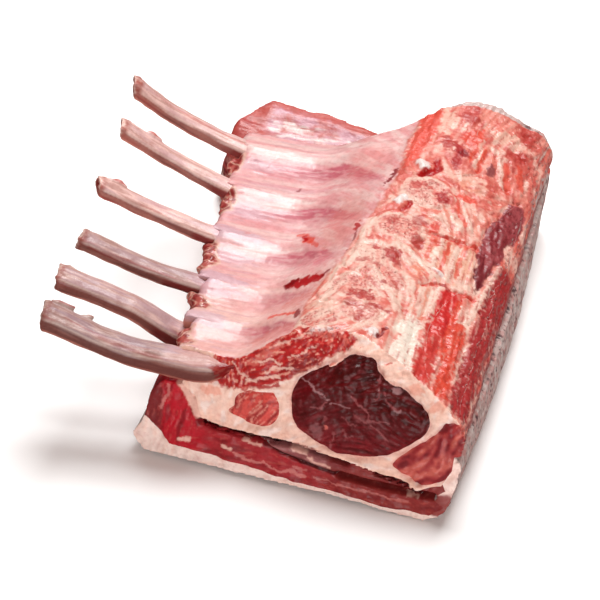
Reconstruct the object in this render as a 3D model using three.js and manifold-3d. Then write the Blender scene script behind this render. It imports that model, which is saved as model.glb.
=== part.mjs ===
// A raw, frenched rack of lamb of six ribs, lying on its fat cap with the inside of the ribs up.
// Millimetres. +X points to the sawn backbone side, +Y along the rack, +Z up, and the fat lies on z = 0.
import * as THREE from 'three';
import { mergeVertices } from 'three/addons/utils/BufferGeometryUtils.js';
import Module from 'manifold-3d';

const wasm = await Module();
wasm.setup();

// ---------------------------------------------------------------- driving dimensions
const GAP = 0.34; // clearance between neighbouring pieces
const RIB_WIDTH = 9.2; // of a middle-sized bared bone, along the rack
const RIB_THICKNESS = 7.0;
const RIB_DEPTH = 5.7; // a middle-sized rib's centre line under the inner skin
const SHEET_HEIGHT = 43; // of the inner skin above the floor
const SKIN_HEIGHT = 39; // the loin's section points above this are its upper skin
const SWELL_HEIGHT = 2.6; // of the inner skin over each rib
const SWELL_WIDTH = 7.5;
const SWELL_MEAN = 0.45; // share of the swell taken off again, so that it also sinks between ribs
const SWELL_END = 12; // x at which the swells have run out into the ridge
const SWELL_FADE = 20;

// near cut: slanted across the rack, leaning back as it rises, and curling further back near the top
const NEAR_START = -3.5; // y at x = 0 on the floor
const NEAR_SLOPE = -0.132;
const NEAR_LEAN = 0.268;
const NEAR_CURL = 0.012;
const CURL_HEIGHT = 30;
const ROUNDING = 0.9; // of the loin's edge at the near cut
const ROUNDED_SHARE = 0.035; // of the length
const NEAR_ROWS = [0, 0.012, ROUNDED_SHARE, 0.07]; // shares of the length that get a row there

// far cut: the rib sheet ends first, the back muscle and the flap of the cap run on
const SHEET_END = 160;
const BULGE = 18;
const BULGE_FROM = -5;
const BULGE_WIDTH = 50;
const FLAP_END = 193.5; // y at x = 0
const FLAP_SLOPE = -0.17;
const FLAP_CORNER = { from: -50, width: 18, cut: 20 };
const FLAP_ROWS = 5;
const FLARE = { from: 0.97, width: 0.12, reach: 11 }; // the cap's left side widens into the flap
const SAG = 3.2; // of the flap's inner skin, which runs out at SAG_END of the flap's length
const SAG_END = 0.87;
const LIP = { from: 0.6, width: 0.4, rise: 1.6 }; // of its far edge
const FLAP_SKIN = { above: 18, left_of: 12 }; // section points that belong to that skin

// the two gapes between the layers at the near cut
const SLIT_DEPTH = 9;
const SLIT_HEIGHT = 1.6;
const LEFT_SLIT_END = 4;
const RIGHT_SLIT = [22, 58];
const SLIT_FADE = 8;

// ---------------------------------------------------------------- section outlines
// Every outline is [x, z] at the near cut, halfway along and at the far cut.

// underside of the loin and rib sheet, from the sheet's free edge to the top of the outer fat
const SEAM = {
  edge: [[-41, 31], [-47, 31], [-52, 30.5]],
  notch: [[-34.8, 26.5], [-38, 28.4], [-42, 29.2]],
  heel: [[-31.8, 17.8], [-31.5, 23.2], [-32, 28.3]],
  sole: [[-24, 16.9], [-22, 21.5], [-20, 27.4]],
  belly: [[2, 18], [3, 20], [4, 23]],
  flank: [[33, 14.7], [34, 15.8], [36, 17]],
  groove: [[51, 11.4], [52.5, 12.8], [54, 15]],
  turn: [[59.6, 14.6], [60.6, 16.6], [62.5, 19.5]],
  wall: [[63.2, 22], [63.6, 24], [66, 26.5]],
  lip: [[63.6, 27.2], [64, 28.4], [66.6, 31.2]],
};
// the sawn backbone face, over the ridge and down the inside of the ribs
const TOP = {
  shelf: [[65.8, 28.2], [67.6, 29.4], [69, 32.2]],
  side: [[66.2, 33], [67, 34], [70.4, 38.6]],
  shoulder: [[62.6, 40], [62.8, 40.4], [67, 46]],
  slant: [[52.4, 47], [50.5, 47.6], [56.5, 53.5]],
  crown: [[35, 54.8], [35, 54], [40, 60]],
  brow: [[18, 58.4], [20, 57.3], [25, 57.8]],
  ridge: [[3, 56], [9.5, 55.6], [15, 53.6]],
  slope: [[-8, 49.6], [-3, 48.6], [1, 49.8]],
  trough: [[-21, 42], [-18, 41.2], [-18, 43]],
  swell: [[-33, 42.2], [-36, 42], [-38, 43.2]],
  brim: [[-41.5, 42.6], [-47.6, 43.2], [-52, 44]],
  rim: [[-43.4, 37], [-50, 37.5], [-55, 38]],
};
// outside of the fat cap, from the floor up the right wall
const WALL = {
  foot: [[54, 0], [59.5, 0], [59, 0]],
  curve: [[60.6, 4], [67, 4.5], [65, 4]],
  mid: [[64.4, 13], [69.8, 13], [67.6, 13]],
  top: [[66, 24], [68.8, 25], [69.4, 28]],
};
// left side of the cap, from under the rib sheet down to the floor
const CAP_SIDE = {
  top: [[-48, 30.2], [-49.4, 29.4], [-52, 29]],
  shoulder: [[-53, 25], [-52, 25], [-54.6, 25.4]],
  side: [[-55.2, 15], [-54, 14], [-57, 13]],
  tip: [[-59.4, 6], [-56, 5], [-58.6, 5]],
  foot: [[-55, 0], [-53.4, 0], [-56, 0]],
};
// pieces inside the loin
const SHEET = {
  far_left: [[-75, 28], [-75, 30.4], [-75, 30]],
  left: [[-35, 29.8], [-39, 32.4], [-43, 32.6]],
  lobe: [[-24, 31.4], [-22, 33.4], [-20, 34]],
  step: [[-12, 36.4], [-8, 36.8], [-4, 38]],
  rise: [[4, 42.8], [5, 44], [8, 44.6]],
  peak: [[23, 53.4], [14, 53.4], [18, 51]],
  over: [[26, 66], [16, 68], [20, 66]],
  far_top: [[-75, 75], [-75, 75], [-75, 75]],
};
const SMALL_MUSCLE = { centre: [[-12, 26.9], [-9, 28.3], [-6, 31]], radii: [8.8, 6.4], tilt: -0.06 };
const EYE = {
  temple: [[3.6, 41.6], [7, 38.6], [11.6, 39.6]],
  left: [[0.8, 33], [4.5, 33], [9, 34]],
  low: [[5, 22.4], [8, 24.2], [13, 26.6]],
  bottom: [[20, 17.8], [22, 20.2], [27, 23]],
  keel: [[38, 21], [38, 20.6], [41, 23]],
  right: [[50.5, 29.4], [49, 27.4], [52, 31]],
  tip: [[53.4, 37.4], [51, 35.6], [54, 39]],
  brow: [[45.6, 47], [43, 41.6], [48, 46]],
  top: [[30, 53], [28, 44.6], [33, 48]],
  crest: [[14.4, 49.2], [15, 43], [20, 44.6]],
};
const BACK_MUSCLE = {
  point: [[41, 18.6], [43, 17.6], [47, 19.6]],
  inner: [[50.6, 26.4], [52, 26], [55, 29]],
  upper: [[57, 33.6], [57.6, 33.6], [58, 31.6]],
  out: [[61, 43], [60.4, 43], [63, 33.6]],
  beyond: [[76, 40], [76, 40], [80, 34]],
  under: [[76, 26.6], [76, 28], [80, 30]],
  heel: [[61.4, 18.8], [61.4, 20], [63.6, 22.6]],
  sole: [[52.6, 13.6], [53.4, 14.8], [55.6, 17]],
};
// pieces inside the cap
const CAP_MUSCLE = {
  far_left: [[-80, 18], [-80, 17], [-80, 16]],
  left: [[-54.5, 14.6], [-56, 13.4], [-58, 12.4]],
  low: [[-45, 6.6], [-45, 6.2], [-45, 6]],
  sole: [[-25, 5.8], [-25, 6], [-25, 6.4]],
  mid: [[8, 3.6], [8, 4.6], [8, 6]],
  right: [[38, 2], [38, 3.4], [38, 5]],
  toe: [[56, 2.6], [56, 4], [57, 5.4]],
  end: [[61.2, 7], [61, 8], [62.4, 9]],
  back: [[57, 9.2], [58, 10.2], [59.4, 12]],
  line: [[30, 8], [30, 9], [32, 11]],
  bend: [[6, 10.6], [6, 12.4], [8, 16]],
  rise: [[-9.6, 15.6], [-8, 18], [-6, 22]],
  over: [[-14, 24], [-12, 28], [-10, 32]],
  far_top: [[-80, 44], [-80, 44], [-80, 44]],
};
const CAP_STRIP = {
  start: [[-11.6, 22], [-9.6, 26], [-7.6, 30]],
  rise: [[-7.6, 15.4], [-6, 17.8], [-4, 21.8]],
  bend: [[6, 11.2], [6, 13], [8, 16.6]],
  line: [[30, 8.6], [30, 9.6], [32, 11.6]],
  back: [[56.6, 9.9], [57.6, 10.9], [59, 12.8]],
  end: [[61.4, 13], [62, 15], [63.6, 18]],
  out: [[57, 22], [58, 24], [60, 27]],
  over: [[20, 27], [22, 30], [26, 32]],
};

// Ribs from the far one to the near one: tip and middle of the bared stretch, the y at which
// the rib crosses the sheet's free edge and the ridge, and its girth.
const RIBS = [
  { tip: [-95.6, 143.6, 69], mid: [-78.8, 150.2, 52], edge: 147, ridge: 150, girth: 1 },
  { tip: [-94.3, 119.4, 65], mid: [-74.1, 124.2, 49], edge: 119, ridge: 121.5, girth: 0.96 },
  { tip: [-93.5, 84.1, 61], mid: [-70.4, 88.4, 48], edge: 88, ridge: 91.5, girth: 0.96 },
  { tip: [-91.8, 53.6, 57.6], mid: [-67.0, 55.0, 46.8], edge: 57.5, ridge: 65.5, girth: 1.02 },
  { tip: [-94.1, 31.8, 55], mid: [-65.6, 31.0, 46.0], edge: 32.5, ridge: 39.5, girth: 1.22 },
  { tip: [-94.3, 13.1, 51], mid: [-65.9, 12.6, 41.0], edge: 11.5, ridge: 19.5, girth: 1.38 },
];
const EDGE_X = -45;
const RIDGE_X = 10;
const INSIDE_X = [-45, -33, -21, -10, -1]; // where a rib's course inside the sheet is set
// the nearest rib lies bare along the near cut before it goes in
const NEAR_RIB_INSIDE = [
  [-46, 12.4, 38.4],
  [-35, 12, 37.8],
  [-25, 13.4, 38.4],
  [-13, 17.4, 41.4],
  [-2, 20, 45.4],
];
const RIB_SIDES = 8;
const RIB_ROWS = [0, 0.07, 0.14, 0.21, 0.28, 0.35, 0.42, 0.49, 0.58, 0.7, 0.85, 1];
const WAIST = 0.1; // how much a bared bone thins halfway
const HEAD = { from: -10, width: 10, drop: 1.4 }; // a rib's head lies deeper
const ENTRY = { from: -39, width: 6, rise: 1 }; // and the rib lies shallower where it enters the sheet

// sawn half vertebrae, set in the sawn face just behind the ridge
const VERTEBRA_SIZE = [11.5, 9.6, 9.5]; // radii across, along and down
const VERTEBRA_Y = [140, 116, 90, 66, 45, 27];
const VERTEBRA_X = [35, 9]; // of the farthest and the nearest: the saw ran at a slant to the ridge
const VERTEBRA_SINK = 4.5; // centre below the sawn face
const VERTEBRA_TURN = 0.2;

// soft pieces that show on the sawn face: place along it, radii across, along and down
const FACE_PIECES = {
  spinal_strip: { x: 50.8, y: 38, radii: [6.6, 29, 6.5], turn: 0, sink: 2 },
  dark_muscle: { x: 59.2, y: 102, radii: [5.6, 31, 6], turn: 0.14, sink: 2 },
  neck_muscle: { x: 19, y: 153, radii: [7, 17, 8], turn: 0.12, sink: 3 },
  shoulder_muscle: { x: 53, y: 163, radii: [14, 20, 12], turn: 0.1, sink: 4 },
};

const REGION_FROM = -0.14; // shares of the length between which a region's prism runs
const REGION_TO = 1.42;
const REGION_STEPS = 5;
const FLOOR_STEPS = 8; // across the flat underside
const ELLIPSE_SIDES = 12;
const LUMP_SIDES = [10, 7];

const COLOURS = {
  bone: 0x9c6a66,
  spine: 0xc98a80,
  fat: 0xe9cdb8,
  sheet: 0xd8a0a0,
  eye: 0x4a1018,
  red: 0xb03a34,
  cap: 0x8c1c22,
  strip: 0x9a4a48,
  dark: 0x5a1a1c,
};

// ---------------------------------------------------------------- small maths
const clamp01 = (t) => Math.min(1, Math.max(0, t));
const smooth = (t) => clamp01(t) ** 2 * (3 - 2 * clamp01(t));
const mix = (a, b, t) => a + (b - a) * t;

/** A value given at the near cut, halfway and at the far cut, at share w of the length. */
function along([near, mid, far], w) {
  const v = clamp01(w);
  return near * (2 * v - 1) * (v - 1) + mid * 4 * v * (1 - v) + far * v * (2 * v - 1);
}

/** The [x, z] points of an outline at share w. */
function outlineAt(outline, w) {
  return Object.values(outline).map((p) => new THREE.Vector2(
    along([p[0][0], p[1][0], p[2][0]], w),
    along([p[0][1], p[1][1], p[2][1]], w),
  ));
}

/** Points on a smooth curve through the given ones, `per` for each stretch. */
const curvePoints = (points, per) => new THREE.SplineCurve(points).getPoints((points.length - 1) * per);

/** A closed smooth ring through the given points. */
function ringPoints(points, per) {
  const flat = points.map((p) => new THREE.Vector3(p.x, p.y, 0));
  const curve = new THREE.CatmullRomCurve3(flat, true, 'catmullrom', 0.5);
  return curve.getPoints(points.length * per).slice(0, -1).map((p) => new THREE.Vector2(p.x, p.y));
}

/** Moves each point of a ring outwards by `amount`, or inwards when it is negative. */
function offsetRing(ring, amount) {
  const turn = THREE.ShapeUtils.isClockWise(ring) ? -1 : 1;
  return ring.map((p, i) => {
    const before = ring[(i + ring.length - 1) % ring.length];
    const after = ring[(i + 1) % ring.length];
    const run = after.clone().sub(before).normalize();
    return new THREE.Vector2(p.x + run.y * turn * amount, p.y - run.x * turn * amount);
  });
}

const nearCut = (x, z) => NEAR_START + NEAR_SLOPE * x + NEAR_LEAN * z
  + NEAR_CURL * Math.max(0, z - CURL_HEIGHT) ** 2;
const farCut = (x) => SHEET_END + BULGE * smooth((x - BULGE_FROM) / BULGE_WIDTH);
const flapCut = (x) => FLAP_END + FLAP_SLOPE * x
  - FLAP_CORNER.cut * smooth((FLAP_CORNER.from - x) / FLAP_CORNER.width);

/** Puts a section point at share w between the near and the far cut. */
const place = (p, w) => new THREE.Vector3(p.x, mix(nearCut(p.x, p.y), farCut(p.x), w), p.y);

const ribY = (rib, x) => mix(rib.edge, rib.ridge, (x - EDGE_X) / (RIDGE_X - EDGE_X));

/** How far the inner skin swells over the ribs, and sinks between them. */
function ribSwell(x, y) {
  const over = RIBS.reduce((sum, rib) => sum + Math.exp(-(((y - ribY(rib, x)) / SWELL_WIDTH) ** 2)), 0);
  return SWELL_HEIGHT * (over - SWELL_MEAN) * clamp01((SWELL_END - x) / SWELL_FADE);
}

// ---------------------------------------------------------------- solids
/** Closed solid from a BufferGeometry. */
function solidFrom(geometry) {
  const bare = new THREE.BufferGeometry();
  bare.setAttribute('position', geometry.getAttribute('position').clone());
  if (geometry.index) bare.setIndex(geometry.index.clone());
  const merged = mergeVertices(bare, 1e-4);
  return new wasm.Manifold(new wasm.Mesh({
    numProp: 3,
    vertProperties: new Float32Array(merged.getAttribute('position').array),
    triVerts: new Uint32Array(merged.index.array),
  }));
}

/** Solid through closed rows of points, shut at both ends. */
function loft(rows) {
  const size = rows[0].length;
  const positions = rows.flat().flatMap((p) => [p.x, p.y, p.z]);
  const index = [];
  for (let r = 0; r + 1 < rows.length; r += 1) {
    for (let i = 0; i < size; i += 1) {
      const a = r * size + i;
      const b = r * size + ((i + 1) % size);
      index.push(a, b, a + size, b, b + size, a + size);
    }
  }
  const last = (rows.length - 1) * size;
  shut(rows[0]).forEach(([a, b, c]) => index.push(a, c, b));
  shut(rows[rows.length - 1]).forEach(([a, b, c]) => index.push(last + a, last + b, last + c));
  const geometry = new THREE.BufferGeometry();
  geometry.setAttribute('position', new THREE.Float32BufferAttribute(positions, 3));
  geometry.setIndex(index);
  const solid = solidFrom(geometry);
  return solid.volume() > 0 ? solid : solidFrom(flipped(geometry));
}

function flipped(geometry) {
  const turned = geometry.clone();
  const index = Array.from(geometry.index.array);
  for (let i = 0; i < index.length; i += 3) [index[i], index[i + 1]] = [index[i + 1], index[i]];
  turned.setIndex(index);
  return turned;
}

/** Triangles that shut a row of points, wound the same way as the row. */
function shut(row) {
  const centre = row.reduce((sum, p) => sum.add(p), new THREE.Vector3()).divideScalar(row.length);
  const normal = new THREE.Vector3();
  row.forEach((p, i) => {
    const next = row[(i + 1) % row.length];
    normal.add(p.clone().sub(centre).cross(next.clone().sub(centre)));
  });
  const flat = new THREE.Quaternion().setFromUnitVectors(normal.normalize(), new THREE.Vector3(0, 0, 1));
  const ring = row.map((p) => {
    const { x, y } = p.clone().sub(centre).applyQuaternion(flat);
    return new THREE.Vector2(x, y);
  });
  const faces = THREE.ShapeUtils.triangulateShape(ring, []);
  const [a, b, c] = faces[0].map((i) => ring[i]);
  const clockwise = b.clone().sub(a).cross(c.clone().sub(a)) < 0;
  return clockwise === THREE.ShapeUtils.isClockWise(ring) ? faces : faces.map(([i, j, k]) => [i, k, j]);
}

/** Shares of the length at which a mass gets a row: over each rib, and between each two. */
function rowShares() {
  const middle = (EDGE_X + RIDGE_X) / 2;
  const start = nearCut(middle, SHEET_HEIGHT);
  const over = RIBS.slice(0, -1).map((rib) => (ribY(rib, middle) - start) / (SHEET_END - start));
  const between = over.map((share, k) => (share + (over[k + 1] ?? NEAR_ROWS.at(-1))) / 2);
  return [...NEAR_ROWS, ...over, ...between, (over[0] + 1) / 2, 1].sort((a, b) => a - b);
}

/** Pulls the section in a little where the near cut rounds over into the outside. */
const roundOver = (w) => ROUNDING * (1 - Math.sqrt(clamp01(w / ROUNDED_SHARE)));

function loinRing(w) {
  const seam = outlineAt(SEAM, w);
  const top = curvePoints(outlineAt(TOP, w), 2);
  return offsetRing([...seam, ...top], -roundOver(w));
}

/** The loin and rib sheet in one mass. */
function loinMass() {
  const rows = rowShares().map((w) => loinRing(w).map((p) => {
    const point = place(p, w);
    if (p.y > SKIN_HEIGHT) point.z += ribSwell(point.x, point.y);
    return point;
  }));
  return loft(rows);
}

/** How far the layers gape at x, as a share. */
const gapeAt = (x) => smooth((LEFT_SLIT_END - x) / SLIT_FADE)
  + smooth((x - RIGHT_SLIT[0]) / SLIT_FADE) * smooth((RIGHT_SLIT[1] - x) / SLIT_FADE);

/** The seam seen from the cap: from right to left, a gap below the loin. */
function capSeam(w) {
  const seam = outlineAt(SEAM, w).reverse();
  const gape = SLIT_HEIGHT * clamp01(1 - (w * SHEET_END) / SLIT_DEPTH);
  return seam.map((p, i) => {
    const before = seam[Math.max(0, i - 1)];
    const after = seam[Math.min(seam.length - 1, i + 1)];
    const run = after.clone().sub(before).normalize();
    return new THREE.Vector2(p.x - run.y * GAP, p.y + run.x * (GAP + gape * gapeAt(p.x)));
  });
}

/** Section of the cap at share w, which passes 1 where the cap runs on as a flap. */
function capRing(w) {
  const wall = curvePoints(outlineAt(WALL, w), 2);
  const flare = FLARE.reach * smooth((w - FLARE.from) / FLARE.width);
  const side = curvePoints(outlineAt(CAP_SIDE, w), 2).map((p) => new THREE.Vector2(p.x - flare, p.y));
  const [left, right] = [side.at(-1), wall[0]];
  const floor = Array.from({ length: FLOOR_STEPS - 1 }, (_, i) => (
    new THREE.Vector2(mix(left.x, right.x, (i + 1) / FLOOR_STEPS), 0)
  ));
  // reversed, so that it runs along the seam the same way as the loin's ring
  return [...wall, ...capSeam(w), ...side, ...floor].reverse();
}

/** The flap's inner skin sags behind the sheet and rises to a meaty lip at its far edge. */
function flapRelief(x, t) {
  const sag = SAG * Math.sin(Math.PI * clamp01(t / SAG_END)) * smooth((SWELL_END - x) / SWELL_FADE);
  return LIP.rise * smooth((t - LIP.from) / LIP.width) - sag;
}

/** The fat cap with its muscles in one mass; it runs on beyond the loin as a flap. */
function capMass() {
  const flap = Array.from({ length: FLAP_ROWS }, (_, i) => (i + 1) / FLAP_ROWS);
  const guess = capRing(1);
  const rows = rowShares().map((w) => capRing(w).map((p) => place(p, w)));
  flap.forEach((t) => {
    rows.push(guess.map(({ x, y: z }, i) => {
      const reach = (flapCut(x) - nearCut(x, z)) / (farCut(x) - nearCut(x, z));
      const w = mix(1, reach, t);
      const p = capRing(w)[i];
      const point = place(p, w);
      if (p.y > FLAP_SKIN.above && p.x < FLAP_SKIN.left_of) point.z += flapRelief(p.x, t);
      return point;
    }));
  });
  return loft(rows);
}

/** Prism through the whole mass along an outline, grown by `grow`. */
function regionPrism(outline, per, grow) {
  const rows = Array.from({ length: REGION_STEPS + 1 }, (_, r) => {
    const w = mix(REGION_FROM, REGION_TO, r / REGION_STEPS);
    return offsetRing(ringPoints(outlineAt(outline, w), per), grow).map((p) => place(p, w));
  });
  return loft(rows);
}

/** Outline of an upright ellipse, for a round muscle that runs along the rack. */
function ellipseOutline({ centre, radii, tilt }) {
  const outline = {};
  for (let i = 0; i < ELLIPSE_SIDES; i += 1) {
    const angle = (i / ELLIPSE_SIDES) * Math.PI * 2;
    const [dx, dz] = [Math.cos(angle) * radii[0], Math.sin(angle) * radii[1]];
    outline[`p${i}`] = centre.map(([x, z]) => [
      x + dx * Math.cos(tilt) - dz * Math.sin(tilt),
      z + dx * Math.sin(tilt) + dz * Math.cos(tilt),
    ]);
  }
  return outline;
}

/** Height of the upper surface over (x, y). */
function topHeight(x, y) {
  const fine = 6;
  let z = SHEET_HEIGHT;
  for (let pass = 0; pass < 3; pass += 1) {
    const w = (y - nearCut(x, z)) / (farCut(x) - nearCut(x, z));
    const line = curvePoints(outlineAt(TOP, w), fine);
    const k = line.findIndex((p, i) => i > fine && p.x <= x);
    const at = Math.max(1, k < 0 ? line.length - 1 : k);
    const [a, b] = [line[at - 1], line[at]];
    z = mix(a.y, b.y, clamp01((x - a.x) / (b.x - a.x)));
  }
  return z + ribSwell(x, y);
}

/** Ellipsoid with its own radii, place and turn about the upright axis. */
function lump(radii, centre, turn, grow) {
  const geometry = new THREE.SphereGeometry(1, ...LUMP_SIDES);
  geometry.scale(radii[0] + grow, radii[1] + grow, radii[2] + grow);
  geometry.rotateZ(turn);
  geometry.translate(...centre);
  return solidFrom(geometry);
}

/** Centre line of a rib, from its bared tip to its head beside the vertebra. */
function ribPath(rib) {
  const inside = INSIDE_X.map((x) => {
    const y = ribY(rib, x);
    const drop = HEAD.drop * smooth((x - HEAD.from) / HEAD.width);
    const rise = ENTRY.rise * smooth((ENTRY.from - x) / ENTRY.width);
    return [x, y, topHeight(x, y) - RIB_DEPTH * rib.girth - drop + rise];
  });
  const nearest = rib === RIBS.at(-1);
  const course = [rib.tip, rib.mid, ...(nearest ? NEAR_RIB_INSIDE : inside)];
  return new THREE.CatmullRomCurve3(course.map((p) => new THREE.Vector3(...p)), false, 'centripetal');
}

/** A rib as a flattened oval bone that thins a little halfway along its bared stretch. */
function ribSolid(rib, grow) {
  const path = ribPath(rib);
  const rows = RIB_ROWS.map((t) => {
    const point = path.getPointAt(t);
    const run = path.getTangentAt(t);
    const across = new THREE.Vector3(0, 1, 0).addScaledVector(run, -run.y).normalize();
    const up = new THREE.Vector3().crossVectors(run, across).normalize();
    const girth = rib.girth * (1 - WAIST * Math.sin(Math.PI * clamp01(t * 2)));
    const wide = (RIB_WIDTH / 2) * girth + grow;
    const thick = (RIB_THICKNESS / 2) * girth + grow;
    if (t === 0) point.addScaledVector(run, -grow);
    if (t === 1) point.addScaledVector(run, grow);
    return Array.from({ length: RIB_SIDES }, (_, i) => {
      const angle = (i / RIB_SIDES) * Math.PI * 2;
      return point.clone()
        .addScaledVector(across, Math.cos(angle) * wide)
        .addScaledVector(up, Math.sin(angle) * thick);
    });
  });
  return loft(rows);
}

/** The half vertebra centred at y, under the sawn face. */
function vertebraLump(y, grow) {
  const share = (VERTEBRA_Y[0] - y) / (VERTEBRA_Y[0] - VERTEBRA_Y.at(-1));
  const x = mix(...VERTEBRA_X, share);
  return lump(VERTEBRA_SIZE, [x, y, topHeight(x, y) - VERTEBRA_SINK], VERTEBRA_TURN, grow);
}

function facePiece({ x, y, radii, turn, sink }, grow) {
  return lump(radii, [x, y, topHeight(x, y) - sink], -turn, grow);
}

/** Takes every solid of `cutters` out of `body`. */
const without = (body, cutters) => cutters.reduce((left, cutter) => left.subtract(cutter), body);

// ---------------------------------------------------------------- assembly
const solids = {};
const half = GAP / 2;
const loin = loinMass();
const ribCuts = RIBS.map((rib) => ribSolid(rib, GAP));
const spineCuts = VERTEBRA_Y.map((y) => vertebraLump(y, half));
const faceCuts = Object.values(FACE_PIECES).map((piece) => facePiece(piece, half));

RIBS.forEach((rib, k) => {
  solids[`rib_${k + 1}`] = { solid: ribSolid(rib, 0), colour: COLOURS.bone };
});
VERTEBRA_Y.forEach((y, k) => {
  const bone = loin.intersect(vertebraLump(y, -half));
  solids[`vertebra_${k + 1}`] = {
    solid: without(bone, [...ribCuts, ...spineCuts.slice(0, k)]),
    colour: COLOURS.spine,
  };
});
const bones = [...ribCuts, ...spineCuts];
Object.entries(FACE_PIECES).forEach(([name, piece], i) => {
  const body = loin.intersect(facePiece(piece, -half));
  const colour = name === 'dark_muscle' ? COLOURS.dark : COLOURS.red;
  solids[name] = { solid: without(body, [...bones, ...faceCuts.slice(0, i)]), colour };
});

/** Cuts a mass into the pieces of a list and what is left, which is returned. */
function divide(mass, pieces, cutters) {
  const cuts = pieces.map(({ outline, per }) => regionPrism(outline, per, half));
  pieces.forEach(({ name, outline, per, colour }, i) => {
    const body = mass.intersect(regionPrism(outline, per, -half));
    solids[name] = { solid: without(body, [...cutters, ...cuts.slice(0, i)]), colour };
  });
  return without(mass, [...cutters, ...cuts]);
}

const loinPieces = [
  { name: 'rib_sheet', outline: SHEET, per: 2, colour: COLOURS.sheet },
  { name: 'small_muscle', outline: ellipseOutline(SMALL_MUSCLE), per: 1, colour: COLOURS.red },
  { name: 'eye_muscle', outline: EYE, per: 2, colour: COLOURS.eye },
  { name: 'back_muscle', outline: BACK_MUSCLE, per: 2, colour: COLOURS.red },
];
const capPieces = [
  { name: 'cap_muscle', outline: CAP_MUSCLE, per: 1, colour: COLOURS.cap },
  { name: 'cap_strip', outline: CAP_STRIP, per: 1, colour: COLOURS.strip },
];
solids.seam_fat = { solid: divide(loin, loinPieces, [...bones, ...faceCuts]), colour: COLOURS.fat };
solids.fat_cap = { solid: divide(capMass(), capPieces, ribCuts), colour: COLOURS.fat };

/** The largest connected body of a solid, so that a boolean's loose scraps drop out. */
function largest(solid) {
  const bodies = solid.decompose();
  return bodies.reduce((best, body) => (body.volume() > best.volume() ? body : best));
}

function geometryOf(solid) {
  const mesh = solid.getMesh();
  const geometry = new THREE.BufferGeometry();
  geometry.setAttribute('position', new THREE.Float32BufferAttribute(Array.from(mesh.vertProperties), 3));
  geometry.setIndex(Array.from(mesh.triVerts));
  return geometry;
}

const rack = new THREE.Group();
rack.name = 'rack_of_lamb';
const box = new THREE.Box3();
for (const [name, { solid, colour }] of Object.entries(solids)) {
  const geometry = geometryOf(largest(solid));
  const material = new THREE.MeshStandardMaterial({ color: colour, roughness: 0.45, metalness: 0 });
  const mesh = new THREE.Mesh(geometry, material);
  mesh.name = name;
  rack.add(mesh);
  box.expandByObject(mesh);
}
// the origin is the middle of the underside
const centre = box.getCenter(new THREE.Vector3());
rack.children.forEach((mesh) => mesh.position.set(-centre.x, -centre.y, -box.min.z));

export default rack;
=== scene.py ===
"""Raw, frenched rack of lamb of six ribs, lying on its fat cap with the inside of the ribs up.

Laid out as a Blender add-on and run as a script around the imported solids. Lengths in the tables are
millimetres in the rack's own cutting frame: x across it towards the sawn backbone side, y along it
from the near cut, z up from the surface that it lies on. CUT_TO_FRAME moves them into the row frame.
"""
import math

import bmesh
import bpy
import numpy as np
from bpy.props import FloatProperty, FloatVectorProperty, PointerProperty
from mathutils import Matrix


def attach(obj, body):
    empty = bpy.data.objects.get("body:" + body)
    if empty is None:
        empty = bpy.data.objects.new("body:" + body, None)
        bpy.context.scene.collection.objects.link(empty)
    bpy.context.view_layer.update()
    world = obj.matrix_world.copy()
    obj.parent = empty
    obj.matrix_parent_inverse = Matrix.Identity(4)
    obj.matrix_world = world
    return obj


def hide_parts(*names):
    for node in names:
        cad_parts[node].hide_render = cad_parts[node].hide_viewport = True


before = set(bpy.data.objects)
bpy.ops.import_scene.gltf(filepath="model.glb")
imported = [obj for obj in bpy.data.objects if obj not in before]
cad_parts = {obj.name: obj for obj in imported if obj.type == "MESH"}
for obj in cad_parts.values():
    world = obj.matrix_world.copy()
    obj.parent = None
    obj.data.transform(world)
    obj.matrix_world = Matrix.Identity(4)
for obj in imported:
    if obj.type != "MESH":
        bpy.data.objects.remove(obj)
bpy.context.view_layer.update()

bl_info = {
    "name": "Rack of lamb",
    "version": (1, 0, 0),
    "blender": (4, 5, 0),
    "location": "View3D > Sidebar > Rack",
    "description": "Models a raw frenched rack of lamb around its solids",
    "category": "Add Mesh",
}

MM = 0.001
CUT_TO_FRAME = np.array([13.8449, -95.4927, 0.0])

# ------------------------------------------------------------------ sections, as in the solids
# Every outline is a row of (x, z) at the near cut, halfway along and at the far cut.
SEAM = (
    ((-41, 31), (-47, 31), (-52, 30.5)), ((-34.8, 26.5), (-38, 28.4), (-42, 29.2)),
    ((-31.8, 17.8), (-31.5, 23.2), (-32, 28.3)), ((-24, 16.9), (-22, 21.5), (-20, 27.4)),
    ((2, 18), (3, 20), (4, 23)), ((33, 14.7), (34, 15.8), (36, 17)), ((51, 11.4), (52.5, 12.8), (54, 15)),
    ((59.6, 14.6), (60.6, 16.6), (62.5, 19.5)), ((63.2, 22), (63.6, 24), (66, 26.5)),
    ((63.6, 27.2), (64, 28.4), (66.6, 31.2)),
)
TOP = (
    ((65.8, 28.2), (67.6, 29.4), (69, 32.2)), ((66.2, 33), (67, 34), (70.4, 38.6)),
    ((62.6, 40), (62.8, 40.4), (67, 46)), ((52.4, 47), (50.5, 47.6), (56.5, 53.5)),
    ((35, 54.8), (35, 54), (40, 60)), ((18, 58.4), (20, 57.3), (25, 57.8)),
    ((3, 56), (9.5, 55.6), (15, 53.6)), ((-8, 49.6), (-3, 48.6), (1, 49.8)),
    ((-21, 42), (-18, 41.2), (-18, 43)), ((-33, 42.2), (-36, 42), (-38, 43.2)),
    ((-41.5, 42.6), (-47.6, 43.2), (-52, 44)), ((-43.4, 37), (-50, 37.5), (-55, 38)),
)
WALL = (
    ((54, 0), (59.5, 0), (59, 0)), ((60.6, 4), (67, 4.5), (65, 4)), ((64.4, 13), (69.8, 13), (67.6, 13)),
    ((66, 24), (68.8, 25), (69.4, 28)),
)
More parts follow.
